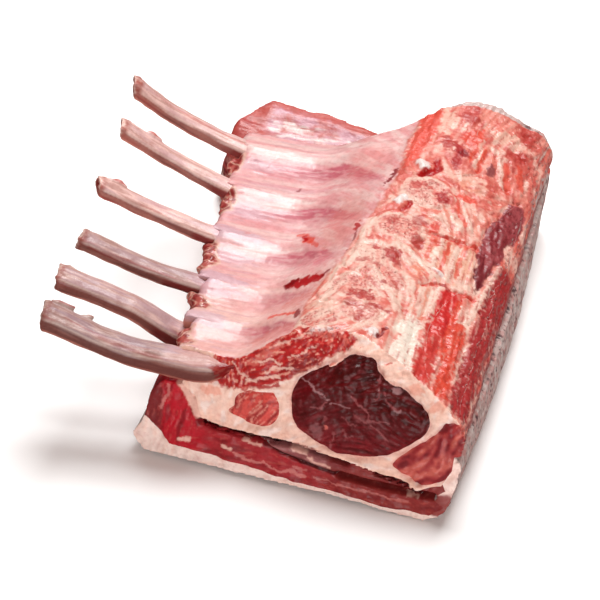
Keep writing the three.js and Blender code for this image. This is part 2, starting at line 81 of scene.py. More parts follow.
CAP_SIDE = (
    ((-48, 30.2), (-49.4, 29.4), (-52, 29)), ((-53, 25), (-52, 25), (-54.6, 25.4)),
    ((-55.2, 15), (-54, 14), (-57, 13)), ((-59.4, 6), (-56, 5), (-58.6, 5)),
    ((-55, 0), (-53.4, 0), (-56, 0)),
)
SHEET = (
    ((-75, 28), (-75, 30.4), (-75, 30)), ((-35, 29.8), (-39, 32.4), (-43, 32.6)),
    ((-24, 31.4), (-22, 33.4), (-20, 34)), ((-12, 36.4), (-8, 36.8), (-4, 38)),
    ((4, 42.8), (5, 44), (8, 44.6)), ((23, 53.4), (14, 53.4), (18, 51)), ((26, 66), (16, 68), (20, 66)),
    ((-75, 75), (-75, 75), (-75, 75)),
)
EYE = (
    ((3.6, 41.6), (7, 38.6), (11.6, 39.6)), ((0.8, 33), (4.5, 33), (9, 34)),
    ((5, 22.4), (8, 24.2), (13, 26.6)), ((20, 17.8), (22, 20.2), (27, 23)),
    ((38, 21), (38, 20.6), (41, 23)), ((50.5, 29.4), (49, 27.4), (52, 31)),
    ((53.4, 37.4), (51, 35.6), (54, 39)), ((45.6, 47), (43, 41.6), (48, 46)),
    ((30, 53), (28, 44.6), (33, 48)), ((14.4, 49.2), (15, 43), (20, 44.6)),
)
BACK_MUSCLE = (
    ((41, 18.6), (43, 17.6), (47, 19.6)), ((50.6, 26.4), (52, 26), (55, 29)),
    ((57, 33.6), (57.6, 33.6), (58, 31.6)), ((61, 43), (60.4, 43), (63, 33.6)),
    ((76, 40), (76, 40), (80, 34)), ((76, 26.6), (76, 28), (80, 30)),
    ((61.4, 18.8), (61.4, 20), (63.6, 22.6)), ((52.6, 13.6), (53.4, 14.8), (55.6, 17)),
)
CAP_MUSCLE = (
    ((-80, 18), (-80, 17), (-80, 16)), ((-54.5, 14.6), (-56, 13.4), (-58, 12.4)),
    ((-45, 6.6), (-45, 6.2), (-45, 6)), ((-25, 5.8), (-25, 6), (-25, 6.4)), ((8, 3.6), (8, 4.6), (8, 6)),
    ((38, 2), (38, 3.4), (38, 5)), ((56, 2.6), (56, 4), (57, 5.4)), ((61.2, 7), (61, 8), (62.4, 9)),
    ((57, 9.2), (58, 10.2), (59.4, 12)), ((30, 8), (30, 9), (32, 11)), ((6, 10.6), (6, 12.4), (8, 16)),
    ((-9.6, 15.6), (-8, 18), (-6, 22)), ((-14, 24), (-12, 28), (-10, 32)),
    ((-80, 44), (-80, 44), (-80, 44)),
)
CAP_STRIP = (
    ((-11.6, 22), (-9.6, 26), (-7.6, 30)), ((-7.6, 15.4), (-6, 17.8), (-4, 21.8)),
    ((6, 11.2), (6, 13), (8, 16.6)), ((30, 8.6), (30, 9.6), (32, 11.6)),
    ((56.6, 9.9), (57.6, 10.9), (59, 12.8)), ((61.4, 13), (62, 15), (63.6, 18)),
    ((57, 22), (58, 24), (60, 27)), ((20, 27), (22, 30), (26, 32)),
)
SMALL_MUSCLE = {"centre": (((-12, 26.9), (-9, 28.3), (-6, 31)),), "radii": (8.8, 6.4), "tilt": -0.06}
SKIN_FROM, SKIN_FULL = 37.0, 42.6  # heights between which the swelling over the ribs sets in
# The near cut: where it lies at x = z = 0, how it slopes and leans, and how it curls back higher up.
NEAR = {"start": -3.5, "slope": -0.132, "lean": 0.268, "curl": 0.012, "curl_height": 30}
SHEET_END = 160  # the far cut at the left; BULGE says how much further it lies at the right
BULGE = {"reach": 18, "from": -5, "width": 50}
# The flap of the cap beyond the far cut: its end, the corner cut off it and how it flares at the left.
FLAP = {"end": 193.5, "slope": -0.17, "corner_from": -50, "corner_width": 18, "corner_cut": 20}
FLARE = {"from": 0.97, "width": 0.12, "reach": 11}
# The flap's skin sags behind the far cut and rises to a lip at its end.
SAG = {"depth": 3.2, "end": 0.87}
LIP = {"from": 0.6, "width": 0.4, "rise": 1.6}
FLAP_SKIN = {"above": 18, "left_of": 12}
EDGE_LIFT = {"height": 1.3, "reach": 7, "right": 56}  # the cap's near lower edge stands off the floor
# The gape between the loin and the cap at the near cut: two stretches of x in which it is open.
SLIT = {"depth": 9, "height": 1.6, "left_end": 4, "right": (22, 58), "fade": 8}
# The skin swells up over each rib, less and less towards `end`.
SWELL = {"height": 2.6, "width": 7.5, "mean": 0.45, "end": 12, "fade": 20}
# Each rib: its tip, the middle of its bared part, its y at EDGE_X and at RIDGE_X, and its girth.
EDGE_X, RIDGE_X = -45, 10
RIBS = (
    {"tip": (-95.6, 143.6, 69), "mid": (-78.8, 150.2, 52), "edge": 147, "ridge": 150, "girth": 1.0},
    {"tip": (-94.3, 119.4, 65), "mid": (-74.1, 124.2, 49), "edge": 119, "ridge": 121.5, "girth": 0.96},
    {"tip": (-93.5, 84.1, 61), "mid": (-70.4, 88.4, 48), "edge": 88, "ridge": 91.5, "girth": 0.96},
    {"tip": (-91.8, 53.6, 57.6), "mid": (-67.0, 55.0, 46.8), "edge": 57.5, "ridge": 65.5, "girth": 1.02},
    {"tip": (-94.1, 31.8, 55), "mid": (-65.6, 31.0, 46.0), "edge": 32.5, "ridge": 39.5, "girth": 1.22},
    {"tip": (-94.3, 13.1, 51), "mid": (-65.9, 12.6, 41.0), "edge": 11.5, "ridge": 19.5, "girth": 1.38},
)
# Where a rib's course passes inside the meat; the last rib has points of its own.
INSIDE_X = (-45, -33, -21, -10, -1)
NEAR_RIB_INSIDE = ((-46, 12.4, 38.4), (-35, 12, 37.8), (-25, 13.4, 38.4), (-13, 17.4, 41.4), (-2, 20, 45.4))
# Below 1, squareness makes the section a rounded box.
RIB = {"width": 9.2, "thickness": 7.0, "depth": 5.7, "waist": 0.1, "squareness": 0.84}
RIB_HALF = (RIB["width"] / 2, RIB["thickness"] / 2)
RIB_SIDES, RIB_POINTS, CORD_SIDES = 40, 150, 16
LAST_RIB_TAPER = {"from": -32, "width": 9, "share": 0.55}  # where the last rib runs out on the near cut
# How far the cut at each rib's tip leans, across the rib and from its top to its underside.
TIP_SLANT = ((0.6, 2.4), (0.4, 1.6), (1.2, 0.8), (-0.6, 0.4), (0.8, 0.6), (1.0, 0.8))
# Shreds left on the bared bones: the rib, radii, and points (from the tip, across, up) along each.
RIB_SHREDS = (
    (1, (0.9, 1.6, 1.0), ((11, 3.0, 2.0), (14, 3.6, 2.5), (17.6, 3.0, 2.1))),
    (2, (1.1, 1.5, 1.0), ((3, 3.0, 2.1), (7, 3.5, 2.5), (10.8, 3.0, 2.2))),
    (5, (1.3, 1.0, 0.6), ((1.6, 3.2, 2.4), (5.4, 3.7, 2.9), (9.6, 4.2, 2.9))),
    (5, (0.7, 0.9, 0.5), ((13.6, 3.1, 2.2), (16, 3.8, 2.5), (17.4, 4.6, 2.6))),
    (4, (1.0, 1.2, 0.7), ((0.8, 3.0, 2.3), (4.5, 3.4, 2.3))),
)
# Inside the meat a rib drops towards the backbone, and rises a little where it comes out.
HEAD = {"from": -10, "width": 10, "drop": 1.4}
ENTRY = {"from": -39, "width": 6, "rise": 1}
# The half vertebrae; "x" holds the first one's x and the last one's, `sink` the depth of their middles.
VERTEBRA = {"radii": (11.5, 9.6, 9.5), "sink": 4.5, "turn": 0.2, "x": (35, 9)}
VERTEBRA_Y = (140, 116, 90, 66, 45, 27)
FACE_PIECES = {
    "spinal_strip": {"at": (50.8, 38), "radii": (6.6, 29, 6.5), "turn": 0.0, "sink": 2},
    "dark_muscle": {"at": (59.2, 102), "radii": (5.6, 31, 6), "turn": 0.14, "sink": 2},
    "neck_muscle": {"at": (19, 153), "radii": (7, 17, 8), "turn": 0.12, "sink": 3},
    "shoulder_muscle": {"at": (53, 163), "radii": (14, 20, 12), "turn": 0.1, "sink": 4},
}

# Finer outlines of three muscles as they show on the near cut; behind it they follow the solids' course.
EYE_CUT = (
    (2.6, 40), (1.2, 35), (1.5, 30), (3, 25.6), (6, 22.8), (11, 21), (15, 19.6), (20, 18.2), (30, 18.8),
    (38, 21), (43, 24), (46.4, 27), (50, 30.4), (52.8, 33.6), (53.2, 37), (51.4, 40.2), (47, 43), (43, 45.4),
    (37, 46.8), (32.6, 48.6), (31.2, 52), (28, 53), (23, 52.4), (17, 49.8), (10, 46), (4.6, 42.6),
)
SMALL_MUSCLE_CUT = (
    (-22.4, 24), (-20.4, 26.6), (-19.6, 30.4), (-16, 33), (-11, 33.6), (-6.6, 34.4), (-4, 32.6), (-3, 28),
    (-4.6, 23.6), (-8, 21.6), (-13, 20.8), (-17.4, 22.4),
)
BACK_CUT = (
    (41, 18.6), (44, 22.4), (47, 25.6), (50.5, 28.4), (54, 31.6), (57.6, 35), (61, 38.4), (76, 37),
    (76, 26.6), (62.6, 18.8), (58, 15.2), (52.6, 13.6), (47, 15.2), (43, 17),
)
NEAR_DOMES = ((EYE_CUT, 1.5), (SMALL_MUSCLE_CUT, 0.9), (BACK_CUT, 0.9))  # how far each muscle swells out
# The striated red meat over the eye muscle, as it shows on the near cut.
RED_TOP = (
    (-29.4, 34), (-26, 32.6), (-20, 33.2), (-14, 35.2), (-8, 37.4), (-2, 40.2), (3, 43), (9, 46.8), (15, 51),
    (20.6, 53.4), (23.4, 56.6), (17, 61), (0, 61), (-30, 52),
)
CAP_LEAN = ("cap_muscle", "cap_strip")
CAP_NODES = (*CAP_LEAN, "fat_cap")
CAP_DIP = 0.5  # how far the cap muscle hangs into the fat under it at the near cut
JOIN = 0.3  # how far the cap's mass reaches into the loin's, so that the two become one
CORD_SHIFT = (1.6, 0, 1.2)  # how far the scraps are set back into the meat, from their cords' points

BEYOND = {"right": 84, "left": -95, "top": 95}  # well outside the rack
BALL = {"segments": 64, "ring_count": 40}
BATCH = 4000  # points that are measured against a rib's course at a time

# Shares of the rack's length at which each loft starts and ends, and its rows.
LOIN_SPAN, CAP_SPAN = (-0.14, 1.1, 130), (-0.14, 1.34, 150)
SEAM_SPAN, PIECE_SPAN = (-0.25, 1.004, 90), (-0.2, 1.5, 60)
# The knives that cut the ends: how far they reach, the spacing of their points and the planes behind them.
KNIFE = {"x": (-110, 110), "z": (-12, 92), "step": 1.5, "near": -140, "far": 300}
# Size, height and seed of the unevenness of each knife's face.
KNIFE_GRAIN = {"near": (9, 0.35, 11), "far": (10, 1.1, 12), "end": (14, 1.6, 13)}

# ------------------------------------------------------------------ tones
# How light the paint is on surfaces that face up, towards the near end and sideways: painted light, set to
# make up for how the lamps fall on each. RIB_GAIN is the same gain for the ribs, set rib by rib.
PAINT_GAIN = {"up": 0.7, "near": 0.96, "side": 0.76}
RIB_GAIN = (0.8, 0.84, 0.84, 0.58, 0.67, 0.53)
SHEEN = 0.008  # light that the wet sheen adds everywhere, taken off the paint
TONES = {
    "crest": (250, 206, 201), "skin": (242, 172, 172), "low": (250, 200, 186), "mauve": (210, 112, 124),
    "white": (254, 240, 235), "lilac": (222, 184, 196), "salmon": (234, 138, 128), "violet": (227, 122, 134),
    "blood": (192, 8, 22), "old_blood": (146, 22, 32), "orange": (240, 92, 78),
    "cream": (253, 214, 196), "cream_warm": (248, 200, 178), "porous": (238, 164, 152),
    "pale_porous": (246, 196, 184), "bone_meat": (192, 60, 54), "bone_red": (184, 34, 38),
    "neck": (246, 98, 82), "neck_dark": (204, 92, 84), "far_pale": (251, 196, 176), "far_red": (224, 96, 88),
    "far_meat": (218, 100, 90), "far_light": (246, 152, 136), "grey_spot": (160, 84, 84),
    "dark": (154, 60, 65), "dark_light": (190, 95, 98), "dark_low": (106, 38, 44), "tendon": (249, 188, 162),
    "salmon_tendon": (248, 150, 130), "red_line": (232, 84, 70), "strip": (224, 44, 44),
    "strip_pink": (222, 66, 60), "orange_strip": (236, 82, 62), "orange_soft": (246, 150, 124),
    "edge_red": (184, 56, 58), "face_base": (250, 180, 165), "face_pink": (240, 140, 124),
    "face_meat": (222, 98, 86), "near_white": (254, 240, 224), "slot": (150, 36, 38),
    "eye": (100, 25, 29), "eye_deep": (74, 15, 19), "eye_red": (128, 31, 37), "eye_pale": (158, 84, 86),
    "silver": (190, 142, 144), "small": (222, 86, 78), "small_dark": (170, 50, 50),
    "near_fat": (253, 212, 195), "near_fat_low": (248, 194, 172), "striated": (190, 34, 36),
    "striated_pink": (220, 112, 100),
    "brown": (140, 44, 44), "rib_meat": (178, 38, 38), "orange_meat": (206, 72, 56), "back": (168, 58, 60),
    "back_light": (206, 100, 88), "back_dark": (124, 36, 42), "cap_left": (196, 26, 43),
    "cap_margin": (138, 48, 50), "cap_mid": (174, 48, 54), "cap_right": (152, 54, 52),
    "fascia": (214, 128, 122), "fascia_pale": (242, 190, 174), "cap_strip": (150, 64, 62),
    "strip_grey": (176, 112, 112), "cap_fat": (255, 228, 218), "scrap": (196, 96, 88),
    "scrap_dark": (146, 48, 48), "bone": (242, 202, 192), "bone_lilac": (198, 160, 164),
    "bone_side": (192, 126, 114), "bone_brown": (152, 92, 84), "bone_tip": (176, 96, 84),
    "marrow": (150, 60, 54), "bone_edge": (252, 220, 206), "bone_rim": (226, 142, 124),
    "gape": (58, 10, 12), "flap_red": (206, 84, 72), "flap_violet": (224, 164, 178),
    "flap_pink": (212, 114, 108), "wall": (222, 196, 190), "wall_pink": (216, 146, 140),
    "wall_pale": (236, 222, 216), "wall_dot": (96, 62, 68), "sheet_edge": (214, 122, 112),
}

# Lean on the far cut: the main tone and the one mixed into it.
FAR_TONES = {
    "eye_muscle": ("eye", "eye_red"), "small_muscle": ("small_dark", "small"),
    "back_muscle": ("back_dark", "back"), "cap_muscle": ("cap_mid", "cap_left"),
    "cap_strip": ("cap_strip", "strip_grey"),
}

# Soft folds of the skin between the ribs, painted mauve, partly the tissue's own tone and partly painted
# shade: points (x, y) along the fold's far edge, with its strength.
SKIN_BANDS = (
    ((-52, 139.5, 0.2), (-36, 139.5, 0.6), (-20, 140.5, 0.7), (-8, 140, 0.7), (0, 135, 0.7), (8, 126, 0.4),
     (14, 120, 0.1)),
    ((-48, 107, 0.15), (-28, 108.5, 0.45), (-15, 112.5, 0.8), (-8, 111, 0.7), (0, 104, 0.55), (8, 96, 0.2)),
    ((-48, 76, 0.1), (-28, 77.5, 0.3), (-20, 81.5, 0.6), (-10, 82.5, 0.6), (-2, 77.5, 0.6), (5, 71, 0.2)),
    ((-50, 57, 0.3), (-38, 56, 0.3), (-25, 54, 0.3), (-12, 53, 0.4), (-3, 50, 0.4), (1, 48, 0.1)),
    ((-36, 29, 0.1), (-22, 32, 0.4), (-10, 31, 0.5), (-3, 27, 0.5), (1, 22, 0.2)),
)
# Marks on the upper side: lines are (tone, half width, strength, points), spots are
# (tone, strength, (x, y, radius across, radius along, turn in degrees)).
SKIN_TINTS = (
    ("lilac", 0.75, (-46, 88, 20, 4.4, 0)), ("lilac", 0.75, (-46, 59.5, 18, 4, 0)),
    ("lilac", 0.7, (-44, 34, 16, 4.6, 0)), ("lilac", 0.7, (-56, 15, 16, 5, 0)),
    ("lilac", 0.55, (-41, 106, 11, 4.4, 0)), ("lilac", 0.5, (-41, 76, 11, 4, 0)),
    ("lilac", 0.5, (-42, 52.5, 10, 3.6, 0)), ("lilac", 0.4, (-44, 137, 10, 3, 0)),
    ("salmon", 0.45, (1, 95, 8, 17, 0)), ("salmon", 0.6, (-5, 44.5, 6.5, 5.4, 0)),
    ("salmon", 0.5, (-9, 24, 9, 4.6, 10)), ("salmon", 0.3, (2, 140, 9, 12, 0)),
    # The white spots in these rows are painted highlights along the crests.
    ("violet", 0.6, (-3, 71, 2.6, 4.6, 0)), ("white", 0.25, (-33, 116.5, 15, 2, 0)),
    ("white", 0.2, (-30, 145.5, 22, 2.4, 0)), ("white", 0.3, (-27, 84, 9, 1.4, 0)),
    ("white", 0.2, (-14, 152, 16, 2.6, 0)), ("lilac", 0.3, (-28, 124, 18, 2.4, 0)),
)
SKIN_LINES = (
    ("orange", 1.5, 0.9, ((-15.4, 95.4), (-13, 91.6), (-10.6, 88))),
    ("blood", 0.9, 0.9, ((-14.4, 92.6), (-12, 89.4))), ("orange", 0.6, 0.7, ((-10.6, 88), (-7, 84))),
    ("blood", 2.1, 0.95, ((-10.6, 58.8), (-6, 57.6), (0, 57))),
    ("old_blood", 1.5, 0.9, ((-12.4, 58.4), (-9.4, 59.6))),
    ("old_blood", 0.8, 0.8, ((1.6, 57), (3.2, 59.4))),
    ("orange", 0.9, 0.9, ((-14, 37.2), (-8, 36), (-5, 34.6))),
    ("old_blood", 0.7, 0.85, ((-3.4, 35.4), (-2.8, 32.2))),
)
SKIN_SPOTS = (
    ("old_blood", 0.7, (-23.3, 125, 0.6, 1.5, 0)), ("salmon", 0.5, (-36, 90.6, 1.6, 1, 0)),
    ("blood", 0.85, (8, 88.6, 1.3, 3, -6)), ("old_blood", 0.7, (8.6, 81.6, 0.6, 3.4, 0)),
    ("old_blood", 0.9, (14.2, 123.4, 1.1, 4.8, -14)), ("old_blood", 0.8, (7, 62.4, 0.7, 0.7, 0)),
    ("old_blood", 0.8, (8, 70.8, 0.6, 0.6, 0)), ("old_blood", 0.6, (14, 100, 0.5, 0.9, 0)),
)
# Scraps of meat left on the free edge, before each rib: the outline that shows, and a cord through it.
SCRAPS = (
    (((-60, 143), (-50, 143), (-49, 137), (-49.6, 131.4), (-60, 131)),
     ((-53.4, 142, 40), (-51.6, 137.6, 41), (-52.4, 132.4, 39.4))),
    (((-60, 118), (-49, 118), (-46, 115.4), (-44.8, 109), (-45.8, 105), (-49, 102.6), (-60, 102.6)),
     ((-50.4, 116.6, 40.4), (-47.6, 111, 41.8), (-48.4, 105, 40.4))),
    (((-60, 86), (-49, 85.6), (-44.8, 80.6), (-45, 77), (-41.6, 71), (-43.2, 67.6), (-46, 64.8), (-60, 64.8)),
     ((-50, 84.4, 40), (-46.6, 78, 41.8), (-44.8, 71.6, 41.8), (-47, 66.6, 40.4))),
    (((-60, 54), (-47.4, 53.6), (-44, 48.8), (-38, 43.8), (-39, 41), (-42, 39.8), (-60, 40)),
     ((-48, 52.4, 40), (-44, 47.4, 41.4), (-40.6, 43.6, 41.6), (-42.6, 41, 40))),
    (((-60, 30), (-45, 29.6), (-40.4, 28.4), (-42, 24.4), (-37.4, 21), (-38, 18.4), (-41, 17), (-60, 17)),
     ((-44.8, 28.8, 40), (-42.6, 25, 41), (-40, 21, 41), (-41, 18.4, 39.6))),
)
SCRAP_RADII = (1.8, 2.9, 2.6, 1.8)
FLAP_HIGHLIGHT = (-33, 185, 19, 5, -8)  # where the painted highlight lies on the flap, in white streaks, as a spot

# How the fibres run, as (x, y, degrees) on the sawn face and (x, z, degrees) on the near cut.
FACE_FIBRES = (
    (19, 165, 92), (19, 145, 88), (30, 160, 80), (42, 156, 70), (42, 145, 82), (58, 165, 65), (58, 150, 108),
    (64, 140, 95), (30, 130, 120), (50, 128, 20), (44, 112, 115), (50, 102, 100), (30, 115, 130),
    (20, 95, 60), (47, 84, 89), (36, 92, 5), (34, 74, 150), (12, 80, 95), (22, 70, 100), (26, 52, 130),
    (12, 50, 70), (20, 38, 60), (38, 50, 92), (39, 25, 92), (48, 50, 91), (48, 25, 90), (56, 40, 88),
    (57, 20, 86), (63, 50, 92), (63, 20, 88), (8, 27, 40),
)
NEAR_FIBRES = (
    (-45, 20, 80), (-25, 10, 4), (5, 8, -4), (40, 6, -2), (30, 12, -6), (-12, 28, 60), (10, 28, 35),
    (25, 40, 20), (40, 32, -30), (50, 22, 45), (60, 30, 70), (12, 54, 80), (0, 52, 60), (-10, 47, 35),
    (3, 45, 32), (-22, 38, 95), (-9, 37, 12), (-28, 25, 100),
)
FACE_SPOTS = (
    ("pale_porous", 0.8, (7, 26, 7, 5.4, 0)), ("far_pale", 0.7, (7, 34, 4.6, 4, 0)),
    ("porous", 0.75, (14, 48, 8, 7, 0)), ("porous", 0.8, (24, 57, 9, 7, 0)),
    ("porous", 0.8, (24, 90, 9, 7, 0)), ("porous", 0.7, (21, 33, 8, 6, 0)),
    ("porous", 0.6, (18, 70, 8, 7, 0)), ("porous", 0.7, (30, 115, 9, 8, 0)),
    ("far_pale", 0.9, (28.4, 163, 4.4, 8, 0)), ("far_meat", 0.9, (37.4, 169, 4.2, 6.4, 0)),
    ("bone_meat", 0.6, (36, 167, 2, 3, 0)), ("bone_meat", 0.5, (40, 171, 1.6, 2.6, 0)),
    ("far_light", 0.8, (45, 170, 3.4, 5.6, 0)), ("far_meat", 0.9, (60, 171, 4, 5.6, 0)),
    ("bone_meat", 0.6, (59, 173, 2, 2.4, 0)), ("far_meat", 0.9, (59, 155.6, 5.4, 6, -20)),
    ("bone_meat", 0.65, (60.4, 158.6, 2.2, 2.8, 0)), ("far_light", 0.7, (52, 171, 3, 4, 0)),
    ("far_pale", 0.9, (53, 163.4, 7, 3.2, 8)), ("cream", 0.9, (50.6, 155, 1.8, 3.4, 0)),
    ("orange_strip", 0.9, (41, 156, 3.4, 5.8, -16)), ("salmon_tendon", 0.7, (45, 146.6, 4.6, 7, 0)),
    ("bone_meat", 0.9, (32.6, 146.8, 2.6, 3.4, -30)), ("bone_red", 0.95, (38, 145.4, 4, 2.2, -35)),
    ("old_blood", 0.85, (38.8, 144.6, 2.2, 1.6, -35)), ("bone_meat", 0.8, (31.6, 149.6, 1.4, 3, 25)),
    ("bone_meat", 0.7, (26.4, 118.4, 2.4, 2.4, 0)), ("bone_meat", 0.7, (38, 166, 3, 2.6, 0)),
    ("bone_meat", 0.6, (58, 156, 3, 3.4, -20)), ("bone_meat", 0.6, (61, 170, 2.6, 3.4, 0)),
    ("bone_red", 0.85, (37.4, 138, 1.7, 4.2, 8)), ("bone_red", 0.9, (36.4, 114.4, 2.4, 3.8, -10)),
    ("bone_red", 0.5, (24, 71, 2.2, 2.4, 20)), ("far_meat", 0.8, (33.6, 140, 2.2, 4, 0)),
    ("cream", 0.6, (35.4, 147, 0.7, 2.6, 0)), ("grey_spot", 0.95, (50, 141.4, 1.5, 3.6, -16)),
    ("far_pale", 0.75, (46, 129, 7, 4.4, 0)), ("orange_soft", 0.7, (43, 127.4, 3.2, 2.4, 0)),
    ("neck", 0.95, (44.6, 120, 3.8, 1.9, 10)), ("far_red", 0.9, (36, 115, 3, 3.8, 0)),
    ("cream", 0.7, (35.4, 116, 0.9, 1.2, 0)),
    ("far_meat", 0.9, (27, 118, 2.8, 2.6, 0)), ("bone_meat", 0.6, (31, 121.6, 2, 1.3, 0)),
    ("cream", 0.8, (42, 103.4, 7, 4.4, 0)), ("bone_meat", 0.7, (30.4, 97, 2.4, 3, 0)),
    ("orange", 0.9, (37.6, 95.4, 1.8, 4.6, 0)), ("orange_strip", 0.7, (38, 90, 2, 3, 0)),
    ("bone_meat", 0.75, (21, 92, 2.6, 2.2, 0)), ("bone_meat", 0.9, (32, 84, 2.2, 3.4, 0)),
    ("blood", 0.8, (18.2, 73.4, 1.6, 1.5, 0)), ("bone_meat", 0.95, (25, 71.4, 3.2, 3.8, 0)),
    ("bone_red", 0.7, (27.6, 68.4, 1.5, 2.8, 0)), ("bone_meat", 0.7, (16, 65, 3, 1.2, 0)),
    ("bone_meat", 0.6, (20.5, 63, 1.6, 1.2, 0)), ("bone_red", 0.8, (25, 53.6, 0.9, 1.3, 0)),
    ("bone_meat", 0.5, (30, 54, 3, 3, 0)), ("bone_meat", 0.95, (19.5, 43, 4.6, 3.2, 0)),
    ("bone_meat", 0.95, (26, 38, 4, 1.8, -12)), ("bone_meat", 0.7, (16.5, 37, 3.4, 2.2, 0)),
    ("bone_meat", 0.85, (20.8, 30.5, 1.5, 3.8, 0)), ("white", 0.95, (27.6, 22.6, 2.2, 2.6, 0)),
    ("near_white", 0.95, (39.2, 25, 4.6, 17, 2)), ("orange_soft", 0.8, (35.4, 68, 2.2, 6.4, 0)),
    ("cream", 0.75, (38, 51, 4.6, 8, 0)), ("tendon", 0.9, (45.6, 83, 9, 9.4, 0)),
)
FACE_LINES = (
    ("neck", 3.4, 0.95, ((21.4, 171), (20.8, 158), (20.4, 150), (20.4, 143), (19.6, 137))),
    ("neck", 2.4, 0.85, ((24, 168), (23.6, 158), (22.4, 150))),
    ("neck_dark", 2.4, 0.8, ((22.6, 171), (23, 166))),
    ("neck", 1.0, 0.7, ((18.8, 137), (18.4, 128))),
    ("white", 2.3, 0.97, ((24, 133.6), (25.4, 130.6))),
    ("blood", 1.6, 1.0, ((30.2, 134.4), (31.6, 131.4), (29.6, 128.6), (27, 126.4))),
    ("blood", 1.9, 1.0, ((27.2, 126.6), (25.6, 125.2))),
    ("white", 1.9, 0.97, ((21.8, 108.2), (20.4, 104.8))),
    ("blood", 1.0, 0.9, ((25, 106), (24.2, 103), (22.6, 100.6))),
    ("orange_strip", 0.8, 0.8, ((46.4, 152), (45.6, 138))),
    ("orange_strip", 0.7, 0.8, ((42.8, 153), (41.8, 141))),
    ("cream", 0.6, 0.7, ((44.6, 152), (43.8, 140))),
    ("orange_strip", 1.2, 0.7, ((55.6, 149), (58.4, 136))),
    ("cream", 1.0, 0.7, ((52.6, 151), (55.6, 137))),
    ("orange_strip", 1.1, 0.7, ((60, 152), (63, 141))),
    ("orange_strip", 0.8, 0.8, ((41, 119), (43, 111), (47, 104))),
    ("cream", 0.7, 0.8, ((43.4, 119), (45.8, 111), (49.6, 104))),
    ("salmon_tendon", 0.8, 0.8, ((38, 110), (41, 103), (44, 97))),
    ("salmon_tendon", 0.7, 0.7, ((47.6, 118), (50, 110), (52, 103))),
    ("cream", 1.7, 0.9, ((19, 61), (24, 55), (29, 49), (33, 41))),
    ("cream", 1.5, 0.95, ((26, 79), (33, 75.6), (38, 72), (41, 69.6))),
    ("cream", 1.6, 0.85, ((5, 58), (10, 62), (13, 70), (12, 80), (12, 92))),
    ("slot", 0.7, 0.95, ((31.6, 27.6), (30.8, 24), (29.6, 20.6))),
    ("cream", 1.2, 0.9, ((39.6, 75), (40.6, 91))),
    ("orange_strip", 0.8, 0.85, ((43, 72), (43.6, 91))),
    ("cream", 1.1, 0.95, ((45.8, 70), (46.6, 91))),
    ("orange_strip", 0.9, 0.8, ((48.6, 75), (49.4, 93))),
    ("tendon", 1.2, 0.85, ((51.4, 76), (52.4, 92))),
    ("orange_strip", 0.9, 0.7, ((36.6, 78), (37.4, 88))),
    ("red_line", 1.1, 0.95, ((36, 92.6), (40, 92.6), (45, 94), (53, 95.6))),
    ("red_line", 0.9, 0.9, ((38, 60.6), (42, 64), (46, 66.6), (50, 66), (57, 67.4))),
    ("orange_soft", 0.6, 0.75, ((37.4, 60), (37.6, 42))),
    ("orange_soft", 0.6, 0.75, ((41, 62), (41.4, 42))),
    ("strip", 3.7, 0.97, ((49.4, 62), (49, 50), (48.2, 41))),
    ("strip_pink", 3.4, 0.95, ((48, 41), (47.6, 24), (47.6, 11))),
    ("orange_strip", 2.7, 0.97, ((55, 48), (55, 30), (55.4, 8))),
    ("orange_strip", 1.2, 0.85, ((52.6, 61), (52.4, 42), (51.6, 28))),
    ("cream", 1.3, 0.95, ((43.8, 46), (44.2, 63))),
    ("cream", 1.2, 0.95, ((56.6, 47), (58.2, 60), (60.6, 76), (63.4, 92))),
    ("cream", 0.5, 0.85, ((56.6, 25), (56.4, 42))),
    ("cream", 0.7, 0.8, ((51, 37.4), (51, 33))),
    ("cream", 0.5, 0.7, ((53.8, 60), (53.6, 50))),
    ("edge_red", 3.3, 0.97, ((62.2, 6), (62.6, 40), (63.8, 68), (66, 92))),
    ("white", 1.0, 0.9, ((40.6, 72.6), (43.6, 71.4))),
    ("bone_red", 1.2, 0.85, ((46, 66.4), (47.2, 64.6))),
    ("orange", 1.3, 0.8, ((52.4, 65.4), (55.4, 66.6))),
)
# Tones that lie over the fibres of the sawn face; the others lie under them.
FRESH_TONES = ("blood", "old_blood", "slot", "white", "grey_spot", "strip", "strip_pink", "orange_strip",
               "neck", "edge_red", "bone_red", "bone_meat")
PORE_TONES = ("porous", "pale_porous")  # tones of the sawn, porous bone
# How far the marks of some tones stand out of the sawn face, or are sunk into it.
FACE_LIFTS = {"old_blood": -0.8, "slot": -0.5, "blood": -1.0, "white": 1.0, "cream": 0.4, "red_line": -0.8}
DARK_MUSCLE = (
    (64.2, 134), (66.4, 131), (66.4, 122), (65.6, 116), (65, 110), (62.8, 107), (62.6, 103.6), (63.6, 100),
    (62, 95), (60.6, 91), (60, 86), (59, 81), (58.2, 76), (56.8, 71.6), (55.8, 76), (54.6, 82), (54.4, 88),
    (53.6, 94), (53.8, 100), (54.8, 106), (54.6, 111), (56, 115), (58, 118.6), (58.6, 124), (60.2, 130),
)
PLEURA_EDGE = (
    (16, -2), (30, -1), (42, 0), (50, 1), (57, 4), (64, 7), (72, 8.6), (80, 9.6), (90, 11), (100, 13),
    (110, 14), (120, 16), (130, 16.4), (150, 15.6), (168, 17),
)

LENGTHWISE = (0.13, 1, 1)  # squeezes noise into streaks that run along the ribs

# Open gaps between the layers on the near cut, sunk into the relief and darkened with painted shade: depth,
# half width and (x, z) points.
GAPES = (
    (5.0, 1.0, ((-33, 17.6), (-29, 16.8), (-20, 16), (-10, 16.4), (0, 16.8))),
    (3.2, 0.7, ((0, 16.8), (12, 15.4), (24, 14.6))),
    (3.0, 0.8, ((35, 13.4), (41, 13), (47, 12))),
    (4.4, 1.0, ((21, 9.6), (32, 9), (46, 9.4), (57, 10))),
    (0.7, 0.6, ((-8, 14.6), (4, 11.8), (12, 10.6), (21, 9.6))),
)

